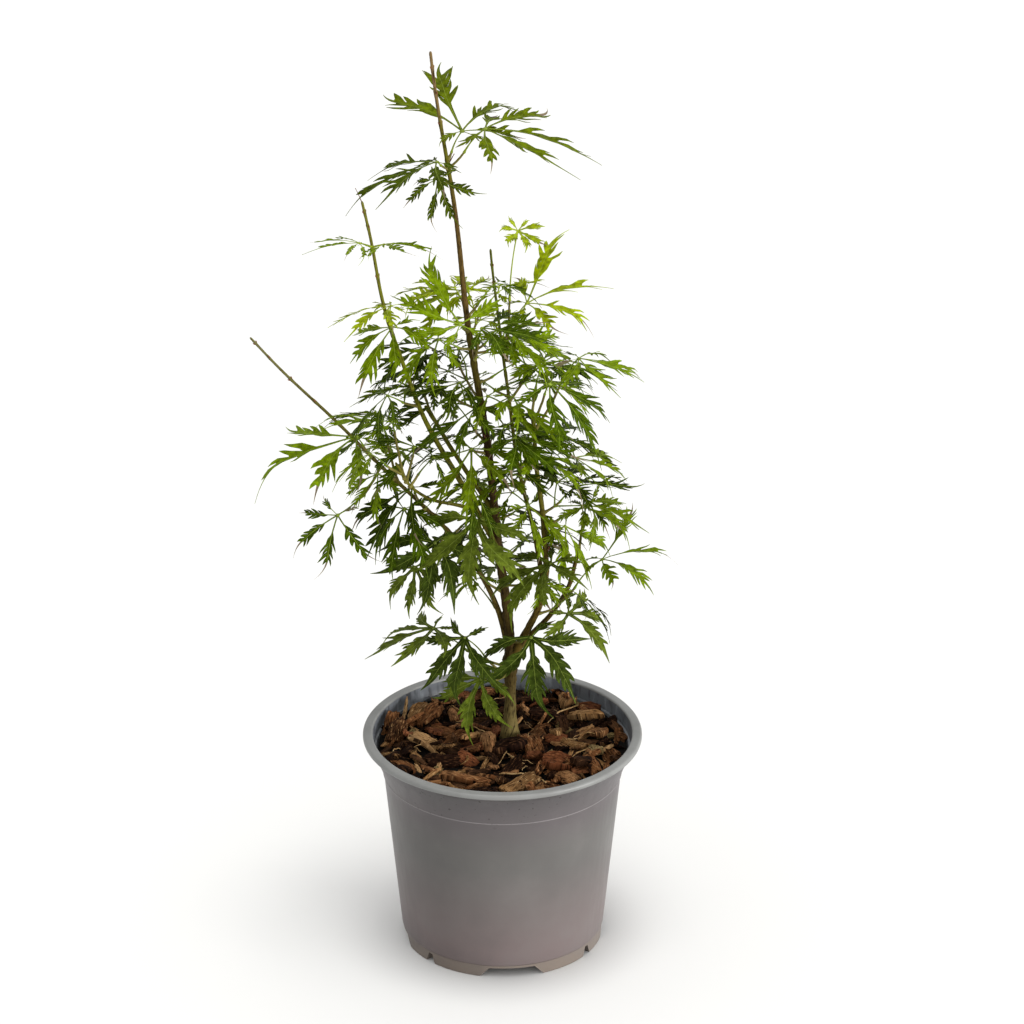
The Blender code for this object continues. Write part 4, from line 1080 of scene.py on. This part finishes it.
def turned(section, turns):
    """The closed surface turned about the Z axis by a section that starts and ends on it."""
    verts, rings, faces = [], [], []
    for radius, height in section:
        count = turns if radius else 1
        rings.append([len(verts) + step % count for step in range(turns)])
        verts += [Vector((radius * x, radius * y, height)) for x, y in circle(turns, 0.5)[:count]]
    for low, high in zip(rings, rings[1:]):
        for step in range(turns):
            other = (step + 1) % turns
            faces.append(tuple(dict.fromkeys((low[step], low[other], high[other], high[step]))))
    return verts, faces


def notch_solid(turn, widths):
    """A cutter for one gap in the foot, wider at the ground."""
    near, far = FOOT_IN - 5 * MM, FOOT_OUT + 10 * MM
    verts = []
    for height, width in ((-1 * MM, widths[0]), (NOTCH_TOP, widths[1])):
        for x, side in ((near, -1), (far, -1), (far, 1), (near, 1)):
            verts.append(Vector((x, side * width / 2, height)))
    spin = Matrix.Rotation(radians(turn), 3, "Z")
    *sides, low, high = ring_faces(2, 4)
    return [spin @ vert for vert in verts], [low, high, *sides]


def settle(item):
    """Put the evaluated shape in the object's own mesh and drop its modifiers."""
    bpy.context.view_layer.update()
    evaluated = item.evaluated_get(bpy.context.evaluated_depsgraph_get())
    item.data = bpy.data.meshes.new_from_object(evaluated)
    item.modifiers.clear()


def make_pot(finishes):
    """The pot with its foot cut by eight gaps and its floor by four drain holes."""
    pot, cutters = Piece(), Piece()
    pot.add(*turned(pot_section(), POT_TURNS))
    item = pot.build("pot_moulded", finishes, "pot_plastic", ["pot"], POT_SHARP)
    for step in range(4):
        cutters.add(*notch_solid(90 * step - 90 + NOTCH_TURN, WIDE_NOTCH))
        cutters.add(*notch_solid(NARROW_TURNS[step] - 90 + NOTCH_TURN, NARROW_NOTCH))
        centre = pointing(90 * step + 45, 0) * DRAIN_RING
        ends = [centre - UP * FLOOR, centre + UP * (FLOOR_UNDER + 2 * FLOOR)]
        cutters.add(*tube(ends, [DRAIN_RADIUS] * 2, 24))
    cutter = put("cutters", mesh_of("cutters", cutters.verts, cutters.faces))
    modifier = item.modifiers.new("gaps", "BOOLEAN")
    modifier.operation = "DIFFERENCE"
    modifier.solver = "EXACT"
    modifier.object = cutter
    settle(item)
    bpy.data.objects.remove(cutter, do_unlink=True)
    for face in item.data.polygons:
        x, y, z = face.center
        inside = INSIDE_FROM < z < STEP_AT + 8 * MM and hypot(x, y) < wall_at(z) - WALL / 2
        face.material_index = 1 if inside else 0
    smooth(item.data, POT_SHARP)


def pot_finish():
    """Taupe-grey plastic: warmer low down, dusty, with painted shade under the flare and the lip, soil mixed
    into the shade under the lip, soil specks near the seam, a painted highlight along the seam and painted
    sheen on the rim.

    Each coat has its colour, what it goes by, and the values where it starts and is full;
    heights are in metres.
    """
    finish = Finish("pot_plastic", srgb(85, 83, 81), 0.42, 0.35)
    place, height = finish.where(), finish.height()
    finish.lay(srgb(99, 88, 87), height, 0.085, 0.020)
    # painted shade: darker bands below the seam and on the flare under the lip, where the rim shades the wall
    finish.lay(srgb(80, 74, 76), height, 0.100, 0.122, 0.8)
    finish.lay(srgb(66, 63, 64), height, 0.1254, 0.146, 0.9)
    # painted highlight: a lighter line along the seam's ridge
    finish.lay(srgb(140, 136, 136), height, 0.1243, 0.1247, finish.mask(height, 0.1254, 0.1250), 0.6)
    # painted shade under the lip, in patches that also stand for soil
    lip_shade_and_soil = finish.mask(finish.noise(place, 130.0, 3.0), 0.38, 0.60)
    finish.lay(srgb(46, 42, 40), height, 0.1455, 0.1487, finish.mask(height, 0.1498, 0.1494), lip_shade_and_soil, 0.8)
    # painted sheen: the rim is laid lighter than the wall
    finish.lay(srgb(117, 118, 116), height, 0.1486, 0.1498)
    finish.lay(srgb(112, 102, 92), height, 0.0098, 0.0080, 0.8)
    cloud = finish.noise(place, 22.0)
    finish.lay(srgb(104, 100, 98), cloud, 0.50, 0.70, 0.35)
    finish.lay(srgb(74, 71, 70), cloud, 0.50, 0.30, 0.35)
    near_lip = finish.times(finish.mask(height, 0.118, 0.138), finish.mask(height, 0.1494, 0.1490))
    finish.lay(srgb(30, 26, 24), finish.noise(place, 400.0, 1.0, 0.4), 0.71, 0.73, near_lip, 0.85)
    finish.relief(finish.noise(place, 2600.0, 2.0), 0.025 * MM, 0.6)
    finish.rough(finish.noise(finish.where("Object", (1.0, 1.0, 0.12)), 260.0, 3.0), 0.34, 0.52)
    return finish.material


def inside_finish():
    """The inside of the wall above the filling: bluer and a little lighter, partly dust and partly painted
    reflection of the sky, with dried drips, pale drip marks that also serve as painted glints, and darker
    towards the filling.
    """
    # bluer base: partly dust, partly painted reflection of the sky
    finish = Finish("pot_inside", srgb(94, 98, 103), 0.36, 0.4)
    drips_and_glints = finish.noise(finish.where("Object", (1.0, 1.0, 0.25)), 190.0)
    finish.lay(srgb(46, 46, 48), drips_and_glints, 0.46, 0.34, 0.8)
    # pale drip marks that also serve as painted glints
    finish.lay(srgb(132, 138, 142), drips_and_glints, 0.58, 0.70, 0.6)
    # darker towards the filling
    finish.lay(srgb(34, 31, 29), finish.height(), 0.1445, 0.1375, 0.85)
    finish.relief(finish.noise(finish.where(), 700.0, 3.0), 0.06 * MM, 0.6)
    finish.rough(drips_and_glints, 0.46, 0.26)
    return finish.material


# ---------------------------------------------------------------- compost and bark chips

COMPOST_SHOW = 141.5 * MM  # dark layer that shows between the chips
COMPOST_RINGS, COMPOST_TURNS = 60, 120
BED_CELL = 1.5 * MM
CHIP_KINDS = {  # share, length, width and thickness in mm, colour, dark, pale
    "red": (6, (10, 18), (7, 12), (1.6, 3.0), (106, 62, 38), (26, 12, 5), (158, 108, 72)),
    "brown": (42, (10, 26), (5, 11), (1.4, 3.0), (102, 65, 38), (8, 3, 1), (188, 146, 100)),
    "dark": (32, (10, 24), (5, 11), (1.4, 3.0), (30, 15, 8), (2, 1, 0), (114, 80, 52)),
    "tan": (14, (10, 26), (2.4, 6), (1.2, 2.4), (136, 100, 62), (36, 21, 10), (206, 170, 122)),
    "grey": (6, (9, 18), (5, 9), (1.6, 3.0), (112, 94, 60), (36, 26, 13), (172, 148, 104)),
    "fibre": (0, (), (), (), (160, 128, 86), (92, 66, 38), (208, 182, 138)),
}
CHIP_ROUNDS = ((92, 0.4), (84, 1.1), (74, 1.7))  # chips, and how much they tilt
CHIP_GRID = (12, 8)  # cells along and across a chip
CHIP_BENDS = (0.12, 0.25, 0.35)  # most that one bends, cups and slants
CHIP_SINK = 0.30  # how deep a chip sinks in the heap, in its thicknesses
CHIP_REST = 0.62  # part of its underside that is over the heap
CHIPS_SEED = 23
BED_RADIUS = 88.0 * MM
NAMED_CHIPS = (  # tint, X, Y, heading, length, width, thickness in mm, tilt in degrees
    ("tan", 45, 58, 70, 19, 12, 5, 14),
    ("grey", 63, -14, 100, 19, 10, 5, 18),
    ("red", 37, -35, 175, 21, 17, 6, 10),
    ("tan", -58, 39, 60, 22, 11, 6, 16),
    ("brown", -50, 34, 50, 22, 10, 6, 18),
    ("tan", 12, -65, 30, 24, 14, 5, 16),
    ("tan", -17, 1, 52, 30, 4, 3, 22),
    ("brown", -72, 13, 75, 24, 13, 6, 18),
    ("tan", -52, -5, 150, 24, 12, 4, 20),
    ("tan", 36, 7, 120, 9, 7, 4, 20),
    ("brown", 20, -10, 112, 22, 12, 6, 24),
    ("brown", -24, -55, 172, 34, 9, 4, 8),
    ("dark", 30, 34, 10, 26, 10, 5, 14),
    ("tan", 58, 33, 155, 25, 8, 5, 12),
    ("brown", 63, 11, 120, 22, 9, 5, 20),
    ("dark", 57, -33, 25, 20, 12, 5, 20),
    ("dark", 4, -13, 12, 26, 11, 7, 8),
    ("brown", -9, -10, 100, 20, 10, 7, 10),
)
FIBRES = (  # start X, Y, end X, Y, bow in mm, thickness in mm
    (57, 50, 31, 23, 7, 1.0), (28, 29, 24, 15, -3, 0.6), (16, 27, 22, 17, 5, 0.5),
    (62, -13, 44, -33, 2, 0.9), (2, -23, 15, -39, 2, 0.8), (-20, 7, -8, -9, 0, 0.7),
    (4, -9, -3, -37, -3, 0.6), (26, -55, 31, -67, 0, 1.0), (-2, -45, 22, -47, 3, 1.3),
    (-60, -11, -45, 1, 4, 0.7), (48, -3, 66, 3, -3, 0.6), (-36, 29, -20, 41, 4, 0.6),
)
LOOSE_FIBRES = 22
FIBRE_STEPS, FIBRE_SIDES = 10, 6
FIBRE_HUMPS = (1.5, 0.4, 1.3)  # in mm: rise of the middle and of the ripples, and their radians a step


class Bed:
    """Height of the heap of chips, kept on a square grid."""

    def __init__(self, radius, level, chance):
        self.half = radius + 6 * MM
        self.count = ceil(2 * self.half / BED_CELL)
        cells = range(self.count)
        self.level = [[level + chance.uniform(0, 0.8) * MM for _ in cells] for _ in cells]

    def cell(self, *place):
        return [min(max(int((value + self.half) / BED_CELL), 0), self.count - 1) for value in place]

    def height(self, x, y):
        column, row = self.cell(x, y)
        return self.level[column][row]

    def cover(self, x, y, height):
        column, row = self.cell(x, y)
        self.level[column][row] = max(self.level[column][row], height)


def chip_shape(length, width, thick, chance):
    """One split chip about its own centre: ragged ends, fibrous faces and a slight bend."""
    columns, lines = CHIP_GRID
    seed = Vector([chance.uniform(0, 99) for _ in range(3)])
    bend, cup, skew = (chance.uniform(-most, most) for most in CHIP_BENDS)
    narrow = chance.uniform(0.45, 1.0), chance.uniform(0.45, 1.0)
    top, bottom, places = [], [], []
    for column in range(columns + 1):
        u = column / columns
        for line in range(lines + 1):
            v = line / lines
            end = narrow[0] + (narrow[1] - narrow[0]) * u
            wide = width * (end + (1 - end) * sin(pi * u)) * 0.5
            ragged = noise.noise(seed + Vector((v * 4.2, u * 0.7, 3.0))) * 0.16 * length
            edge = noise.noise(seed + Vector((u * 3.0, v * 0.6, 7.0))) * 0.24 * wide
            x = (u - 0.5) * length + ragged * abs(2 * u - 1) ** 2 + skew * (v - 0.5) * width * 0.6
            y = (v - 0.5) * 2 * wide + edge * abs(2 * v - 1)
            fibre = noise.fractal(seed + Vector((u * 1.4, v * 11.0, 0.0)), 0.8, 2.0, 3)
            layer = round(noise.noise(seed + Vector((u * 1.6, v * 2.6, 5.0))) * 2.2) * 0.16
            sag = bend * length * (2 * u - 1) ** 2 + cup * width * (2 * v - 1) ** 2
            rim = abs(2 * u - 1) ** 8 * 0.30 + abs(2 * v - 1) ** 8 * 0.30
            half = thick / 2 * max(1.0 - rim, 0.3)
            top.append(Vector((x, y, sag + half + (fibre * 0.11 + layer) * thick)))
            bottom.append(Vector((x, y, sag - half + fibre * thick * 0.10)))
            places.append((x + seed.x * 0.01, y + seed.y * 0.01))
    row, shift = lines + 1, len(top)
    faces = []
    for column in range(columns):
        for low in range(column * row, column * row + lines):
            corners = (low, low + row, low + row + 1, low + 1)
            faces += [corners, tuple(corners[step] + shift for step in (0, 3, 2, 1))]
    ring = [*range(lines), *range(lines, columns * row + lines, row)]
    ring += [*range(columns * row + lines, columns * row, -1), *range(columns * row, 0, -row)]
    for corner, other in zip(ring, ring[1:] + ring[:1]):
        faces.append((corner, other, other + shift, corner + shift))
    return top + bottom, faces, places + places


def kept_in(vert):
    """A point of the filling, moved in where it would pass the pot's wall."""
    part = min(room_at(vert.z) / max(hypot(vert.x, vert.y), MM), 1.0)
    return Vector((vert.x * part, vert.y * part, vert.z))


def lay_chip(bed, pieces, tint, size, x, y, turn, tilts, chance):
    """Drop a chip on the heap, and raise the heap where it lies."""
    length, width, thick = (value * MM for value in size)
    verts, faces, places = chip_shape(length, width, thick, chance)
    lie = Matrix.Rotation(turn, 3, "Z") @ Matrix.Rotation(tilts[0], 3, "Y") @ Matrix.Rotation(tilts[1], 3, "X")
    verts = [lie @ vert for vert in verts]
    rests = sorted(bed.height(x + vert.x, y + vert.y) - vert.z for vert in verts[len(verts) // 2:])
    height = rests[int(len(rests) * CHIP_REST)] - CHIP_SINK * thick
    verts = [kept_in(vert + Vector((x, y, height))) for vert in verts]
    pieces[tint].add(verts, faces, places)
    for vert in verts[:len(verts) // 2]:
        bed.cover(vert.x, vert.y, vert.z)


def make_bark_chips(trunk_foot):
    """Chips heaped over the compost, open round the trunk, with splinters and pale fibres."""
    chance = random.Random(CHIPS_SEED)
    bed = Bed(BED_RADIUS, COMPOST_SHOW, chance)
    pieces = {tint: Piece() for tint in CHIP_KINDS}
    tints = [tint for tint, kind in CHIP_KINDS.items() for _ in range(kind[0])]
    golden = pi * (3 - sqrt(5))
    for count, lift in CHIP_ROUNDS:
        offset = chance.uniform(0, tau)
        for index in range(count):
            tint = chance.choice(tints)
            # painted shade: brown chips in the lowest round, under the others, are swapped for dark ones
            if tint == "brown" and lift == CHIP_ROUNDS[0][1]:
                tint = "dark"
            size = [chance.uniform(*span) for span in CHIP_KINDS[tint][1:4]]
            radius = (BED_RADIUS - size[0] * 0.26 * MM) * sqrt((index + 0.5) / count)
            turn = index * golden + offset
            x, y = radius * cos(turn), radius * sin(turn)
            if hypot(x - trunk_foot.x, y - trunk_foot.y) < 6 * MM + size[1] * 0.5 * MM:
                continue
            tilts = radians(chance.gauss(0, 9 + 9 * lift)), radians(chance.gauss(0, 11 + 12 * lift))
            lay_chip(bed, pieces, tint, size, x, y, chance.uniform(0, tau), tilts, chance)
    for tint, x, y, heading, *size, tilt in NAMED_CHIPS:
        tilts = radians(tilt * chance.choice((-1, 1))), radians(chance.uniform(-8, 8))
        lay_chip(bed, pieces, tint, size, x * MM, y * MM, radians(heading), tilts, chance)
    lay_fibres(bed, pieces["fibre"], chance)
    return pieces


def lay_fibres(bed, piece, chance):
    """Pale stringy fibres and small splinters that lie over the chips."""
    rows = [tuple(value * MM for value in row) for row in FIBRES]
    for _ in range(LOOSE_FIBRES):
        radius = BED_RADIUS * 0.92 * sqrt(chance.random())
        turn, way = chance.uniform(0, tau), chance.uniform(0, tau)
        x, y = radius * cos(turn), radius * sin(turn)
        length = chance.uniform(5, 14) * MM
        rows.append((x, y, x + cos(way) * length, y + sin(way) * length,
                     chance.uniform(-3, 3) * MM, chance.uniform(0.35, 0.8) * MM))
    for x0, y0, x1, y1, bow, thick in rows:
        start, end = Vector((x0, y0, 0.0)), Vector((x1, y1, 0.0))
        side = (end - start).cross(UP).normalized() * bow
        points = curve_through([start, (start + end) / 2 + side, end], FIBRE_STEPS)
        heights = [bed.height(point.x, point.y) for point in points]
        level = max(sum(heights) / len(heights), sorted(heights)[-3] - 1.2 * MM)
        points = [kept_in(Vector((point.x, point.y, level))) for point in points]
        radii = []
        for index, point in enumerate(points):
            hump, ripple, ripples = FIBRE_HUMPS
            rise = hump * sin(pi * index / FIBRE_STEPS) + ripple * sin(index * ripples)
            point.z = level + rise * MM
            radii.append(thick / 2 * (0.35 + 0.65 * sin(pi * (0.08 + 0.84 * index / FIBRE_STEPS))))
        piece.add(*tube(points, radii, FIBRE_SIDES))


def make_compost_top():
    """The dark uneven surface of the compost under and between the chips."""
    verts, places = [], []
    for ring in range(COMPOST_RINGS + 1):
        radius = room_at(COMPOST_SHOW - 1 * MM) * ring / COMPOST_RINGS
        for x, y in circle(COMPOST_TURNS):
            places.append((radius * x, radius * y))
            rough = noise.fractal(Vector((*places[-1], 0.0)) * 260, 0.8, 2.1, 4) * 1.1 * MM
            verts.append(Vector((*places[-1], COMPOST_SHOW + rough)))
    *faces, _, _ = ring_faces(COMPOST_RINGS + 1, COMPOST_TURNS)
    return verts, [(face[0], *face[:0:-1]) for face in faces], places


# ---------------------------------------------------------------- the plant

TINTS = {  # the two shades of the leaves, the stalks' colour and the slot
    "crest": ((72, 84, 1), (52, 64, 1), (112, 126, 30), "leaf_young"),
    "young": ((120, 134, 2), (86, 106, 1), (124, 138, 30), "leaf_young"),
    "mid": ((88, 107, 3), (49, 66, 1), (100, 120, 24), "leaf_mid"),
    "dark": ((78, 94, 4), (36, 49, 1), (84, 100, 22), "leaf_dark"),
    "low": ((74, 86, 22), (46, 58, 14), (88, 102, 32), "leaf_dark"),
}
UNDER_PALE, VEIN_PALE = (0.018, 0.024, 0.003), (0.10, 0.125, 0.022)  # linear, laid over the leaf's
LOW_MASSES = ("low_left", "low_far", "low_foot", "low_right", "low_front", "low_back", "low_tail",
              "right_front", "left_under", "left_drop")
MAIN_SHADE = 0.7  # part of a mass's leaves that have its own shade
LOOK_SEED = 71

# Finer shoots: stem, first and last place along it, how many leaves are tried there, the
# heading of the first in degrees and the turn from each to the next.
FINE_SHOOTS = (
    ("trunk", 0.56, 0.64, 6, -75, 24), ("trunk", 0.20, 0.62, 36, 0, GOLDEN_TURN),
    ("bough_right", 0.22, 0.88, 16, 0, GOLDEN_TURN), ("bough_back", 0.24, 0.60, 11, 0, GOLDEN_TURN),
    ("bough_back", 0.64, 0.82, 7, -60, 25), ("bough_left_leader", 0.24, 0.44, 5, 0, GOLDEN_TURN),
    ("bough_left_inner", 0.30, 0.88, 5, 0, GOLDEN_TURN), ("bough_left_low", 0.14, 0.48, 6, 0, GOLDEN_TURN),
)
FINE_TWIG = 8
FINE_SPANS = ((5, 35), (34, 46), (14, 24), (5, 40))  # rise, blade, stalk and droop
FINE_TINTS = ((0.375, "dark"), (0.455, "mid"), (1.0, "young"))  # each up to a height in metres
FRONT_CLEAR = 34  # degrees to each side of the front, where the stems show
FINE_SEED = 5
TWIG_STEPS, TWIG_SIDES = 12, 9
YOUNG_TWIG, OLD_TWIG = 0.80, 0.9  # of the solid's radius
TWIG_ROOT = 3  # mm that a twig runs back into its stem


def tint_of(mass):
    """The tint that a mass is dealt: its own, but for the lowest and the highest leaves."""
    if mass[0].startswith("top_"):
        return "crest"
    return "low" if mass[0] in LOW_MASSES else mass[-1]


def grow_fine(stems, masses):
    """Lone leaves on short shoots that use the room left between the masses, all round."""
    taken = trees_of_stems(stems)
    for twig, leaves in masses.values():
        taken.append(tree_of_twig(twig))
        for leaf in leaves:
            taken += trees_of_leaf(leaf)
    chance = random.Random(FINE_SEED)
    shoots = []
    for carrier, first, last, count, heading, turn in FINE_SHOOTS:
        for index in range(count):
            along = first + (last - first) * index / (count - 1)
            height = stems[carrier].at(along)[0].z
            tint = next(tint for top, tint in FINE_TINTS if height < top)
            facing = heading + index * turn
            rise, blade, stalk, droop = (chance.uniform(*span) for span in FINE_SPANS)
            name = "fine_%s_%d_%d" % (carrier, count, index)
            mass = (name, carrier, along, facing, rise, FINE_TWIG, 1, blade, stalk, droop, 0, tint)
            twig, leaves = grow_mass(mass, stems, taken)
            behind = abs((facing + 90) % 360 - 180) < 180 - FRONT_CLEAR
            shoot = stem_solid(twig, SIDES_IN_TEST[0], TWIG_RING_GAP)
            if leaves and behind and is_free(shoot, taken[len(stems):]):
                shoots.append((mass, twig, leaves))
                taken += trees_of_leaf(leaves[0])
    return shoots


def draw_twig(mass, twig, twigs):
    """The twig of a mass, carried back into the stem it grows from, with its end bud."""
    parts = [step / TWIG_STEPS for step in range(TWIG_STEPS + 1)]
    points = [twig.at(part)[0] for part in parts]
    radii = [twig.radius(part) * (YOUNG_TWIG if mass[-1] == "young" else OLD_TWIG) for part in parts]
    points.insert(0, points[0] - twig.at(0.0)[1] * TWIG_ROOT * MM)
    radii.insert(0, radii[0] * 1.5)
    radii[1] *= 1.25
    radii[-1] *= 1.15
    twigs.add(*tube(points, radii, TWIG_SIDES))


def make_foliage(masses, shoots):
    """Blades by tint, with the veins, stalks and withered tails that go with them."""
    blades = {(tint, shade): Piece() for tint in TINTS for shade in range(2)}
    nodes = {key: [] for key in blades}
    veins, stalks = ({tint: Piece() for tint in TINTS} for _ in range(2))
    twigs, tails = Piece(), Piece()
    for mass, twig, leaves in [(mass, *masses[mass[0]]) for mass in MASSES] + shoots:
        name, tint = mass[0], tint_of(mass)
        style = MASS_STYLES.get(name, "young" if tint == "crest" else tint)
        chance = random.Random(LOOK_SEED + sum(ord(letter) for letter in name))
        shade = chance.randrange(2)
        for leaf in leaves:
            piece = blades[tint, shade if chance.random() < MAIN_SHADE else 1 - shade]
            for index in leaf.lobes:
                lift = LIFTS.get(name, {}).get(index, STYLE_LIFTS.get(style, 0.0))
                lobe = Lobe(leaf, index, chance, TRIMS.get(style, PLAIN_TRIM), lift)
                blade = tails if (name, index) in WITHERED else piece
                draw_lobe(lobe, style, blade, veins[tint], tails, chance)
            draw_hub(leaf, veins[tint])
            draw_stalk(leaf, stalks[tint])
        draw_twig(mass, twig, twigs)
        if name in masses:
            nodes[tint, shade].append("foliage_" + name)
    return blades, nodes, veins, stalks, twigs, tails


def thicken(item):
    """Give a joined sheet its real thickness, with the second finish underneath."""
    modifier = item.modifiers.new("thickness", "SOLIDIFY")
    modifier.thickness = SHEET_THICK
    modifier.offset = -1.0
    modifier.material_offset = 1
    settle(item)
    item.data.set_sharp_from_angle(angle=radians(60))


# ---------------------------------------------------------------- stage

SKY_WAY = (0.3, -0.2, 0.9)
SKY_LIGHT = (0.70, 1.12)  # away from that way and along it
LIGHTS = (  # name, place, size, power, colour, and whether it lights the floor
    ("key", (0.3, -0.6, 9.0), 3.0, 340.0, (1.0, 0.985, 0.96), True),
    ("side", (6.9, -4.5, 1.1), 2.4, 800.0, (1.0, 0.99, 0.98), False),
)
LIGHTS_AIM = Vector((0.0, 0.0, 0.3))
FLOOR_HALF = 8.0
CAMERA_PLACE = (0.0065, -2.666, 1.526)
CAMERA_DOWN = 24.4  # degrees
CAMERA_LENS = 154.7


def make_sky():
    """White all-round light, a little stronger from above, the right and the front."""
    world = bpy.data.worlds.new("studio")
    world.use_nodes = True
    tree = world.node_tree
    place = add_node(tree, "TexCoord", "Generated", {})
    along = add_node(tree, "VectorMath", "Value", {0: place, 1: Vector(SKY_WAY).normalized()},
                     operation="DOT_PRODUCT")
    plug(tree, tree.nodes["Background"], {
        "Color": (1.0, 1.0, 1.0, 1.0), "Strength": remap(tree, along, -1.0, 1.0, *SKY_LIGHT)})
    return world


def spare(lamp, item):
    """Keep a lamp's light off one thing."""
    spared = bpy.data.collections.new("spared")
    spared.objects.link(item)
    spared.collection_objects[0].light_linking.link_state = "EXCLUDE"
    lamp.light_linking.receiver_collection = spared


def make_stage():
    """Pale floor, soft studio lights and the camera."""
    corners = [(x * FLOOR_HALF, y * FLOOR_HALF, 0.0) for x, y in ((-1, -1), (1, -1), (1, 1), (-1, 1))]
    floor = put("floor", mesh_of("floor", corners, [(0, 1, 2, 3)]))
    floor.data.materials.append(Finish("floor", (0.75, 0.75, 0.74), 0.65, 0.1).material)
    scene = bpy.context.scene
    scene.world = make_sky()
    for name, place, size, power, colour, on_floor in LIGHTS:
        lamp = bpy.data.lights.new(name, "AREA")
        lamp.shape = "DISK"
        lamp.size = size
        lamp.energy = power
        lamp.color = colour
        item = put(name, lamp)
        item.location = place
        item.rotation_euler = (LIGHTS_AIM - Vector(place)).to_track_quat("-Z", "Y").to_euler()
        if not on_floor:
            spare(item, floor)
    lens = bpy.data.cameras.new("camera")
    lens.sensor_width = 36.0
    lens.lens = CAMERA_LENS
    lens.clip_end = 50.0
    scene.camera = put("camera", lens)
    scene.camera.location = CAMERA_PLACE
    scene.camera.rotation_euler = (radians(90.0 - CAMERA_DOWN), 0.0, 0.0)
    scene.view_settings.view_transform = "Standard"
    scene.view_settings.look = "None"


def dress_filling(trunk):
    """The compost and the bark chips on it."""
    compost = Piece()
    compost.add(*make_compost_top())
    # the compost's own dark colour, pushed near black as painted shade in the gaps between the chips
    finish = plain_finish("compost", srgb(7, 4, 2), 0.95, 500.0, 0.5, 0.4 * MM)
    compost.build("compost_top", [finish], "compost", ["compost"])
    for tint, piece in make_bark_chips(trunk.at(0.0)[0]).items():
        finish = chip_finish("bark_" + tint, *(srgb(*colour) for colour in CHIP_KINDS[tint][4:]))
        piece.build("bark_chips_" + tint, [finish], "bark_mulch", ["bark_mulch"] if tint == "brown" else (), 50)


def dress_limbs(stems):
    """The bark of the trunk and boughs, and their buds and spurs."""
    looks = {name: bark_finish("bark_" + name, *row) for name, row in BARKS.items()}
    buds = Piece()
    for name, stem in stems.items():
        limb = Piece()
        limb.add(*draw_limb(name, stem))
        look = looks.get(name, looks["bough_left_leader" if "left" in name else "bough_right"])
        limb.build("bark_of_" + name, [look], "bark", [name], 70)
        for order, part in enumerate(BARE_NODES.get(name, ())):
            for side in (0.0, pi):
                bud_at(stem, part, side + order * pi / 2, (1.9 - 0.6 * part) * MM * 1.6, buds)
    for name, *row in SPURS:
        add_spur(stems[name], *row, buds)
    buds.build("buds", [plain_finish("bud_scales", srgb(104, 62, 38), 0.5)], "bark")


def dress_foliage(stems, masses):
    """The leaves by tint and shade, their veins and stalks, the twigs and the withered tails."""
    blades, nodes, veins, stalks, twigs, tails = make_foliage(masses, grow_fine(stems, masses))
    for (tint, shade), piece in blades.items():
        colour, key = srgb(*TINTS[tint][shade]), "%s_%d" % (tint, shade)
        under = tuple(value * 0.85 + pale for value, pale in zip(colour, UNDER_PALE))
        finishes = [leaf_finish("leaf_" + key, colour), leaf_finish("leaf_under_" + key, under, 0.6)]
        thicken(piece.build("leaves_" + key, finishes, TINTS[tint][-1], nodes[tint, shade]))
    for tint, piece in veins.items():
        colour = tuple(value * 0.75 + pale for value, pale in zip(srgb(*TINTS[tint][0]), VEIN_PALE))
        piece.build("veins_" + tint, [plain_finish("vein_" + tint, colour, 0.45)], TINTS[tint][-1])
    for tint, piece in stalks.items():
        finish = plain_finish("stalk_" + tint, srgb(*TINTS[tint][2]), 0.45)
        piece.build("stalks_" + tint, [finish], TINTS[tint][-1])
    twigs.build("twigs", [plain_finish("twig_bark", srgb(98, 92, 42), 0.55)], "bark")
    tails.build("withered_tails", [plain_finish("withered", srgb(104, 92, 72), 0.8)] * 2, "leaf_dark")


stems, masses = grow_plant()
make_pot([pot_finish(), inside_finish()])
dress_filling(stems["trunk"])
dress_limbs(stems)
dress_foliage(stems, masses)
make_stage()
